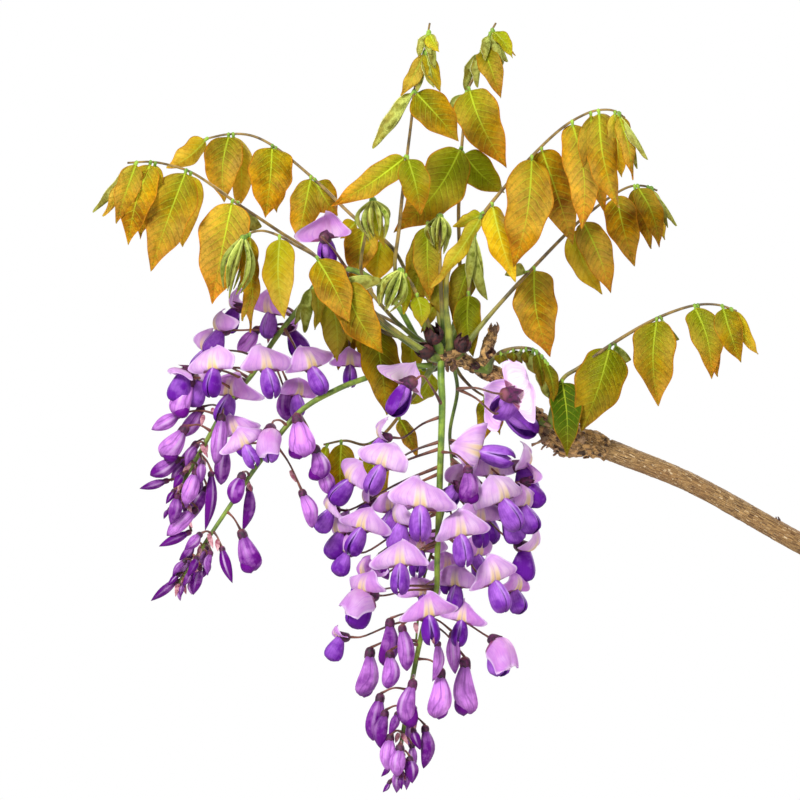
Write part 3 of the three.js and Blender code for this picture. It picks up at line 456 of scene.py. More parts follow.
scatter, given, result = geometry_tree("scatter_crumbs", {
    "Crumb": ("Object", None), "Material": ("Material", None), "Per Square Metre": ("Float", 20000.0),
    "Lowest Height": ("Float", 0.0), "Smallest": ("Float", 0.6), "Largest": ("Float", 2.0),
    "Seed": ("Int", 1),
})
place = add_node(scatter, "GeometryNodeInputPosition").outputs[0]
place_z = Field(add_node(scatter, "ShaderNodeSeparateXYZ", {0: place}).outputs["Z"])
points = add_node(scatter, "GeometryNodeDistributePointsOnFaces", {
    "Mesh": given["Geometry"], "Selection": place_z.maths("GREATER_THAN", given["Lowest Height"]),
    "Density": given["Per Square Metre"], "Seed": given["Seed"],
})
turn = {0: (0, 0, 0), 1: (6.28, 6.28, 6.28), "Seed": given["Seed"]}  # any way up
size = {2: given["Smallest"], 3: given["Largest"], "Seed": Field(given["Seed"]) + 1.0}
crumbs = add_node(scatter, "GeometryNodeInstanceOnPoints", {
    "Points": points.outputs["Points"],
    "Instance": add_node(scatter, "GeometryNodeObjectInfo", {"Object": given["Crumb"]}).outputs["Geometry"],
    "Rotation": add_node(scatter, "FunctionNodeRandomValue", turn, data_type="FLOAT_VECTOR").outputs[0],
    "Scale": add_node(scatter, "FunctionNodeRandomValue", size, data_type="FLOAT").outputs[1],
})
painted(scatter, crumbs.outputs[0], given["Material"], result, rest=given["Geometry"])

for kind, material, amount, smallest, largest, seed in (
    (crumb("grit_crumb", 0.9, 5), grit.material, 5200.0, 0.5, 1.5, 11),
    (crumb("peat_crumb", 0.8, 3), peat.material, 60000.0, 0.6, 2.4, 23),
):
    use_tree(soil, scatter, {
        "Crumb": kind, "Material": material, "Per Square Metre": amount, "Lowest Height": soil_edge - 1 * MM,
        "Smallest": smallest, "Largest": largest, "Seed": seed,
    })
    bpy.data.objects.remove(kind)
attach(soil, "root")
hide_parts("soil")

# ---- Woody stem ----
# One woody piece: roots that dip under the soil, a leaning stem with shallow lengthwise furrows, a swollen
# knot, and the knobbly spurs that flower. Its limbs are grown together, then the bark is raised on them.
CLUSTER = Vector((-252, 0, 406)) * MM

# Each row of a limb is a point of its middle line, in millimetres from the cluster, and its radius there.
STEM = [
    (263, 0, -256, 13), (266, 2, -234, 11.5), (275, 4, -205, 9.5), (276, 2, -176, 8.5), (258, 0, -144, 7.5),
    (224, 0, -117, 6.2), (182, 0, -93, 5), (142, 0, -73.2, 4.2), (98.4, 0, -49.2, 4), (66, 0, -36, 4.4),
]
KNOT = [(66, 0, -36, 4.2), (57, -0.5, -33, 5.6), (48, 0, -32, 6.2), (40, 0.5, -28, 4.4)]
SPUR = [(44, 0, -30, 4.2), (30, 1, -17, 3.2), (20, 1, -6, 3.8), (9, 0, -1, 2.9), (2, 0, 2, 3.4)]
SPUR_HEAD = [(-9.5, 0, 3, 1.2), (-6, 0, 3, 4.4), (-1, 0, 3, 5.4), (4, 0, 3, 4.6), (7.5, 0, 3, 1.2)]
SIDE_SPUR = [(16, 2, -3, 3.4), (17, 3, 5, 2.6), (19.5, 3, 12, 2.2)]
ROOT_RADII = [8, 5, 2.5]
ROOTS = [(15, 52), (95, 40), (170, 56), (235, 44), (305, 50)]  # turn in degrees, reach in mm
GROWN_TOGETHER = 0.8 * MM  # the size of step at which the limbs are joined
GRAIN_SHIFT = 0.37  # how far the grain of each limb is shifted from the one before, so that none match
BLOCK = 4000  # points of the bark that are looked up at a time


def point(x, y, z):
    return CLUSTER + Vector((x, y, z)) * MM


def smooth_path(points, count):
    """Samples along a smooth curve through the points, evenly spread over the list of points."""
    p = np.array([tuple(q) for q in points], float)
    p = np.vstack([2 * p[0] - p[1], p, 2 * p[-1] - p[-2]])
    places = np.linspace(0, len(points) - 1, count)
    first = np.minimum(places.astype(int), len(points) - 2)
    t = (places - first)[:, None]
    a, b, c, d = (p[first + i] for i in range(4))
    g0, g1, g2 = (np.sqrt(np.linalg.norm(y - x, axis=1, keepdims=True)) for x, y in ((a, b), (b, c), (c, d)))
    leave = ((b - a) / g0 - (c - a) / (g0 + g1) + (c - b) / g1) * g1
    arrive = ((c - b) / g1 - (d - b) / (g1 + g2) + (d - c) / g2) * g1
    return b + leave * t + (3 * (c - b) - 2 * leave - arrive) * t**2 + (2 * (b - c) + leave + arrive) * t**3


def lengths_along(samples):
    steps = np.linalg.norm(np.diff(samples, axis=0), axis=1)
    return np.concatenate([[0], np.cumsum(steps)])


def evenly(samples, count):
    """The same path with its samples the same distance apart."""
    lengths = lengths_along(samples)
    places = np.linspace(0, lengths[-1], count)
    return np.stack([np.interp(places, lengths, samples[:, axis]) for axis in range(3)], axis=1)


def spread(values, count):
    """A few values spread evenly over a count of samples."""
    return np.interp(np.linspace(0, 1, count), np.linspace(0, 1, len(values)), values)


def unit(rows):
    return rows / np.maximum(np.linalg.norm(rows, axis=-1, keepdims=True), 1e-12)


def angles_round(count):
    return np.linspace(0, TAU, count, endpoint=False)


def ways_round(side, other, angles):
    """A direction for each angle, from one side towards the other and on round."""
    return side * np.cos(angles)[:, None] + other * np.sin(angles)[:, None]


def across_frames(path):
    """For each sample of a path, its tangent and two more directions that turn as little as they can."""
    tangents = unit(np.gradient(path, axis=0))
    side = np.array([0.1, 1.0, 0.2])
    sides = []
    for tangent in tangents:
        side = side - side.dot(tangent) * tangent
        side = side / np.linalg.norm(side)
        sides.append(side)
    sides = np.array(sides)
    return tangents, sides, np.cross(tangents, sides)


def keep_values(mesh, name, values):
    """Keeps a number or a vector for each point of a mesh, as a named attribute."""
    kind, part = ("FLOAT", "value") if values.ndim == 1 else ("FLOAT_VECTOR", "vector")
    mesh.attributes.new(name, kind, "POINT").data.foreach_set(part, values.astype(np.float32).ravel())


class Growth:
    """A plant piece as it is put together: closed skins, and stalks kept as chains of edges. Each point
    holds its place on its skin (across, along, side), a spot in millimetres, and the tint of its skin."""

    def __init__(self):
        self.points, self.faces, self.finishes, self.edges = [], [], [], []
        self.kept = {"place": [], "spot": [], "tint": [], "thick": [], "rim": []}
        self.count = 0

    def _keep(self, points, place, spot, tint, thick, rim):
        first, amount = self.count, len(points)
        for (label, kept), value in zip(self.kept.items(), (place, spot, tint, thick, rim)):
            kept.append(np.broadcast_to(value, (amount,) if label in ("thick", "rim") else (amount, 3)))
        self.points.append(points)
        self.count += amount
        return first

    def skin(self, rings, start, end, tint, finish=0, place=(0, 0, 0), spot=(0, 0, 0), rim=False):
        """A closed form through rings of points, with one point at each end. Place, spot and rim are one
        value or have a row for each point: the start, the rings in turn, then the end."""
        rows, around = rings.shape[:2]
        points = np.vstack([[start], rings.reshape(-1, 3), [end]])
        ring = 1 + np.arange(rows * around).reshape(rows, around)
        after = np.roll(ring, -1, axis=1)
        quads = np.stack([ring[:-1], after[:-1], after[1:], ring[1:]], -1).reshape(-1, 4)
        first_fan = np.stack([np.zeros(around, int), after[0], ring[0]], -1)
        last_fan = np.stack([np.full(around, rows * around + 1), ring[-1], after[-1]], -1)
        corners = np.vstack([quads[:, :3], quads[:, [0, 2, 3]], first_fan, last_fan])
        a, b, c = (points[corners[:, i]] - points[0] for i in range(3))
        outwards = 1 if np.einsum("ij,ij->", a, np.cross(b, c)) >= 0 else -1
        first = self._keep(points, place, spot, tint, 0, rim)
        for faces in (quads, first_fan, last_fan):
            self.faces += (faces[:, ::outwards] + first).tolist()
            self.finishes += [finish] * len(faces)

    def stalk(self, path, radii, tint):
        """A thin round stalk along a path. The radii, in millimetres, are spread evenly along it."""
        amount = len(path)
        along = np.stack([np.zeros(amount), np.linspace(0, 1, amount), np.zeros(amount)], 1)
        first = self._keep(np.asarray(path), along, (0, 0, 0), tint, spread(radii, amount) * MM, False)
        self.edges += [(first + i, first + i + 1) for i in range(amount - 1)]

    def as_object(self, name, *finishes):
        made = bpy.data.meshes.new(name)
        made.from_pydata(np.vstack(self.points), self.edges, self.faces, shade_flat=False)
        rows = {label: np.concatenate(kept) for label, kept in self.kept.items()}
        for label in ("place", "spot", "tint", "thick"):
            keep_values(made, label, rows[label])
        for finish in finishes:
            made.materials.append(finish.material)
        made.polygons.foreach_set("material_index", self.finishes)
        ends = np.zeros(2 * len(made.edges), np.int32)
        made.edges.foreach_get("vertices", ends)
        sharp = made.attributes.new("sharp_edge", "BOOLEAN", "EDGE")
        sharp.data.foreach_set("value", rows["rim"][ends.reshape(-1, 2)].all(axis=1))
        return new_object(name, made)


def limb(growth, points, radii, around, step):
    """A round limb along a smooth curve, with its radii spread evenly over the points."""
    rows = max(6, int(lengths_along(smooth_path(points, 40 * len(points)))[-1] / step))
    path = smooth_path(points, rows)
    radius = spread(radii, rows) * MM
    tangents, sides, others = across_frames(path)
    ways = ways_round(sides[:, None], others[:, None], angles_round(around))
    rings = path[:, None] + ways * radius[:, None, None]
    start, end = path[0] - tangents[0] * 0.4 * radius[0], path[-1] + tangents[-1] * 0.4 * radius[-1]
    growth.skin(rings, start, end, (0, 1, 0))
    return path, radius


def table_limb(growth, table, around, step):
    return limb(growth, [point(*row[:3]) for row in table], [row[3] for row in table], around, step)


wood = Growth()
limbs = [table_limb(wood, STEM, around=32, step=1.5 * MM)]
foot = point(*STEM[0][:3])
for turn, reach in ROOTS:
    outward = Vector(turned(1, 0, math.radians(turn)))
    root = [Vector((foot.x, foot.y, SOIL_TOP + height * MM)) + outward * share * reach * MM
            for height, share in ((12, 0), (3, 0.4), (-10, 1))]
    limbs.append(limb(wood, root, ROOT_RADII, around=20, step=2 * MM))
rough_from = len(limbs)  # the knot and the spurs, which come next, have rougher bark
limbs += [table_limb(wood, table, around=24, step=1 * MM) for table in (KNOT, SPUR, SPUR_HEAD, SIDE_SPUR)]
woody_stem = wood.as_object("bark_stem")
join = woody_stem.modifiers.new("grown_together", "REMESH")
join.mode = "VOXEL"
join.voxel_size = GROWN_TOGETHER
join.use_smooth_shade = True
apply_modifiers(woody_stem)
ease = woody_stem.modifiers.new("eased", "SMOOTH")
ease.factor = 0.5
ease.iterations = 4
apply_modifiers(woody_stem)

# Where each point of the bark lies: how far along its limb, and round it, in millimetres.
amount = len(woody_stem.data.vertices)
skin_points = np.zeros(amount * 3)
woody_stem.data.vertices.foreach_get("co", skin_points)
skin_points = skin_points.reshape(-1, 3)
lines = np.vstack([path for path, _ in limbs])
tangents_at = np.vstack([unit(np.gradient(path, axis=0)) for path, _ in limbs])
radii_at = np.concatenate([radius for _, radius in limbs])
lengths_at = np.concatenate([lengths_along(path) + GRAIN_SHIFT * n for n, (path, _) in enumerate(limbs)])
is_rough = np.concatenate([np.full(len(path), float(n >= rough_from)) for n, (path, _) in enumerate(limbs)])
nearest = np.zeros(amount, int)
for first in range(0, amount, BLOCK):
    away = np.linalg.norm(skin_points[first:first + BLOCK, None] - lines[None], axis=2) - radii_at[None]
    nearest[first:first + BLOCK] = away.argmin(axis=1)
out = skin_points - lines[nearest]
out -= (out * tangents_at[nearest]).sum(axis=1, keepdims=True) * tangents_at[nearest]
out = unit(out) * radii_at[nearest][:, None]
bark_grain = np.stack([lengths_at[nearest], out[:, 1], out[:, 2] + out[:, 0]], axis=1) / MM
keep_values(woody_stem.data, "grain", bark_grain)
keep_values(woody_stem.data, "rough", is_rough[nearest])

relief, given, result = geometry_tree("bark_relief", {
    "Furrow Depth": ("Float", 0.0005), "Knot Depth": ("Float", 0.002), "Material": ("Material", None),
})
place = named(relief, "grain", "FLOAT_VECTOR")
long_way = {0: place, 1: (0.2, 1.1, 1.1)}
long_way = Field(add_node(relief, "ShaderNodeVectorMath", long_way, operation="MULTIPLY").outputs[0])
ridge = (abs(long_way.grain(1.0, 3, 0.5) - 0.5) - 0.12) * 5.0
knob = (place.grain(0.28, 2, 0.5) - 0.5) * 2.0
lift = ridge * given["Furrow Depth"] + knob * named(relief, "rough") * given["Knot Depth"]
way = {0: add_node(relief, "GeometryNodeInputNormal").outputs[0], "Scale": lift}
way = add_node(relief, "ShaderNodeVectorMath", way, operation="SCALE")
raised = {"Geometry": given["Geometry"], "Offset": way.outputs[0]}
raised = add_node(relief, "GeometryNodeSetPosition", raised).outputs[0]
painted(relief, raised, given["Material"], result)


def attribute(tree, name):
    """A mesh's attribute as a vector, then in its three parts."""
    vector = Field(add_node(tree, "ShaderNodeAttribute", attribute_name=name).outputs["Vector"])
    return [vector, *(Field(part) for part in add_node(tree, "ShaderNodeSeparateXYZ", {0: vector}).outputs)]


bark = Finish("wisteria_bark")
place = attribute(bark.tree, "grain")[0]
rough = Field(add_node(bark.tree, "ShaderNodeAttribute", attribute_name="rough").outputs["Fac"])
streaks = place.stretched((0.34, 2.7, 2.7)).grain(1.0, 5, 0.65)
fine = place.grain(1.6, 4, 0.7)
knots = place.grain(0.45, 5, 0.6)
body = streaks.span(0.36, 0.62).between((62, 34, 8), (172, 136, 84)).coated(
    (place.grain(0.05).span(0.4, 0.7, 0, 0.55), (124, 86, 44)),
    (fine.span(0.58, 0.66) * 0.6, (38, 20, 8)),
    (place.grain(1.1).span(0.6, 0.68) * 0.7, (222, 198, 158)),
    (rough * knots.span(0.5, 0.4) * 0.8, (206, 160, 96)),
    (rough * knots.span(0.52, 0.6) * 0.9, (40, 22, 16)),
)
bark.lay(body, fine.span(0.2, 0.8, 0.7, 0.95), streaks + fine * 0.7, 0.7, 0.6 * MM)
depths = {"Furrow Depth": 0.2 * MM, "Knot Depth": 2.2 * MM}
use_tree(woody_stem, relief, {**depths, "Material": bark.material})
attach(woody_stem, "root")
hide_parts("woody_stem")

# ---- Torn bark and bud scales ----
# Splinters of torn bark stand up round the knot, where a shoot has broken away. Dry brown and maroon
# scales of last winter's buds still sit round the spurs, each a thin cupped plate joined at its foot.
SPLINTERS = 34
SPLINTER_SEED = 7
KNOT_SAMPLES, TORN_FROM = 40, 12  # samples along the knot, and the first of them that bears splinters
OUTLINE_SAMPLES = 300
PLATE = [(0, 0.45), (0.15, 0.8), (0.4, 1), (0.7, 0.7), (0.9, 0.3), (1, 0)]
SCALE_RINGS = [  # middle of the spur, way it points, radius of the ring, scales in it, length, maroon share
    ((19.5, 3, 10.5), (0.1, 0, 1), 1.2, 6, 4.5, 0.5), ((13, -3.5, -3), (-0.4, -0.8, 0.5), 1, 6, 3.2, 1),
    ((6, -6, 4), (0.4, -0.5, 0.8), 1.9, 9, 6.5, 1), ((18.5, -3, 1.5), (-0.1, -0.8, 0.5), 1.3, 7, 4, 0.9),
    ((-4, -7, 7), (-0.25, -0.5, 0.9), 2, 9, 8, 1), ((-5, -6, 2.5), (-1, -0.4, 0.25), 1.7, 8, 7, 1),
    ((2, -7, -1), (0.2, -1, -0.5), 1.6, 7, 4, 0.7), ((133, 0, -65.4), (-0.1, 0, 1), 0.8, 6, 2.6, 0.9),
]


def outline_at(outline, places):
    """The width of an outline, given as (along, width) points, at each place along it."""
    dense = smooth_path([(along, width, 0) for along, width in outline], OUTLINE_SAMPLES)
    return np.maximum(np.interp(places, dense[:, 0], dense[:, 1]), 0)


def grow_sheet(growth, middle, ends, thick, places, spots, tint, finish, value):
    """A thin closed skin round a grid of points through its middle. Places and spots are two grids each,
    and value is the sheet's own random number."""
    normal = unit(np.cross(np.gradient(middle, axis=1), np.gradient(middle, axis=0)))
    front = middle + normal * thick[..., None]
    back = (middle - normal * thick[..., None])[:, -2:0:-1]
    columns = middle.shape[1]

    def rows(first, second, third):
        sheets = (np.broadcast_to(grid, middle.shape[:2]) for grid in (first, second))
        grids = np.stack([*(np.hstack([grid, grid[:, -2:0:-1]]) for grid in sheets), third], -1)
        return np.vstack([[grids[0, columns // 2]], grids.reshape(-1, 3), [grids[-1, columns // 2]]])

    side = np.ones((middle.shape[0], front.shape[1] + back.shape[1]))
    side[:, columns:] = -1
    on_rim = np.zeros(side.shape, bool)
    on_rim[:, 0] = on_rim[:, columns - 1] = True
    rim = np.concatenate([[False], on_rim.ravel(), [True]])
    growth.skin(np.concatenate([front, back], axis=1), *ends, tint, finish, rows(*places, side),
                rows(*spots, np.full(side.shape, value)), rim)


def thin_blade(growth, base, tip, face, width, outline, tint, finish=0, rows=10, sides=5, bow=0.0, sway=0.0,
               fold=0.0, twist=0.0, ripple=0.0, roll=0.0, phase=0.0, thickness=0.25, vein_gap=0.0,
               midrib=0.0, value=0.0):
    """A thin closed blade from its base to its tip. Bow and sway are how far its middle stands out and
    aside, as shares of its length, and fold is how far each half is folded back, in radians. Its width,
    thickness, ripple, midrib and vein gap are in millimetres."""
    base, tip, face = (np.array(vector, float) for vector in (base, tip, face))
    length = np.linalg.norm(tip - base)
    down = (tip - base) / length
    face = unit(face - face.dot(down) * down)
    across = np.cross(down, face)
    t = 0.5 - 0.5 * np.cos(math.pi * (np.arange(rows) + 0.6) / (rows + 0.2))
    half = np.sin(np.linspace(0, 1, sides + 1)[1:] * math.pi / 2) ** 0.8
    half = np.concatenate([half[:-1], [0.97, 1.0]])
    T, S = np.meshgrid(t, np.concatenate([-half[::-1], [0], half]), indexing="ij")
    edge_wave = 1 + ripple * 0.05 * np.sin(TAU * 2.6 * T + 1.7 * phase + np.sign(S))
    W = 0.5 * width * MM * outline_at(outline, t)[:, None] * edge_wave
    size = np.abs(S)
    x = S * W * math.cos(fold)
    z = -size * W * math.sin(fold) * (1 - 0.3 * size) - roll * W * size**2
    wave = ripple * MM * np.sin(TAU * 2.3 * T + phase + np.sign(S) * 0.9) * size**2
    vein = T * 0
    if vein_gap:
        vein = (T * length - 0.6 * size * W - 0.45 * size**2 * W) / MM / vein_gap
        quilt = np.abs(np.sin(math.pi * (vein - 0.08)))
        z = z + 0.42 * MM * quilt * (1 - size**2) * np.minimum(1, size * 4)
    turn = twist * (T - 0.3)
    x, z = x * np.cos(turn) - z * np.sin(turn), x * np.sin(turn) + z * np.cos(turn)
    bulge = np.sin(math.pi * T)
    x, z = x + sway * length * bulge, z + wave + bow * length * bulge
    middle = base + down * (T * length)[..., None] + across * x[..., None] + face * z[..., None]
    thick = 0.5 * thickness * MM * (1 - size**3)
    thick = thick + midrib * MM * np.exp(-(S * W / (0.5 * MM)) ** 2) * (1 - T) ** 0.7
    grow_sheet(growth, middle, (base, tip), thick, (S, T), (S * W / MM, vein), tint, finish, value)


def square_to(way, turn, side=None):
    """A direction square to the way, at a turn from its side."""
    side = side or way.orthogonal().normalized()
    return side * math.cos(turn) + way.cross(side) * math.sin(turn)


draw = random.Random(SPLINTER_SEED)
scales = Growth()
knot_line = smooth_path([point(*row[:3]) for row in KNOT], KNOT_SAMPLES)
for _ in range(SPLINTERS):
    centre = Vector(knot_line[draw.randrange(TORN_FROM, KNOT_SAMPLES)])
    turn = draw.uniform(0, TAU)
    outward = Vector((draw.uniform(-0.5, 0.2), math.sin(turn), math.cos(turn))).normalized()
    foot = centre + outward * draw.uniform(4.6, 6.4) * MM
    lean = Vector((draw.uniform(-1.4, -0.2), 0.6 * outward.y, draw.uniform(-0.3, 0.5))).normalized()
    tip = foot + (lean + outward * draw.uniform(0.1, 0.7)) * draw.uniform(1.6, 4.6) * MM
    shade = draw.uniform(0.4, 1.3)
    thin_blade(scales, foot, tip, outward, draw.uniform(1.4, 3.6), PLATE, (0, shade, 0), rows=6, sides=3,
               bow=draw.uniform(-0.15, 0.2), twist=draw.uniform(-1, 1), thickness=0.7)
for middle, way, radius, amount, long, maroon in SCALE_RINGS:
    way = Vector(way).normalized()
    for number in range(amount):
        outward = square_to(way, TAU * (number + draw.uniform(-0.2, 0.2)) / amount).normalized()
        foot = point(*middle) + outward * radius * MM
        tip = foot + (way + outward * draw.uniform(-0.25, 0.3)) * long * draw.uniform(0.7, 1.1) * MM
        tint = (maroon, draw.uniform(0.6, 1.3), 0)
        thin_blade(scales, foot, tip, outward, 0.55 * long, PLATE, tint, rows=7, sides=3, bow=0.22,
                   fold=0.35, thickness=0.5)

dry = Finish("dry_scale")
mottle = object_place(dry.tree).grain(900, 4)
_, maroon, light, _ = attribute(dry.tree, "tint")
even = mottle.span(0.35, 0.65)
body = even.between((120, 86, 56), (176, 142, 104)).coated((maroon, even.between((30, 10, 16), (84, 36, 36))))
dry.lay(body.shaded(light), mottle.span(0.2, 0.8, 0.6, 0.85), mottle, 0.5, 0.3 * MM)
bud_scales = scales.as_object("bud_scales", dry)
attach(bud_scales, "root")

# ---- Leaves ----
# Young pinnate leaves, each a slim stalk that arches over with paired leaflets hanging from it on short
# soft stalks of their own. The blades are thin, silky and still bronze, with a bright midrib and veins
# that the soft blade quilts up between. The youngest leaves are still folded along their midribs.

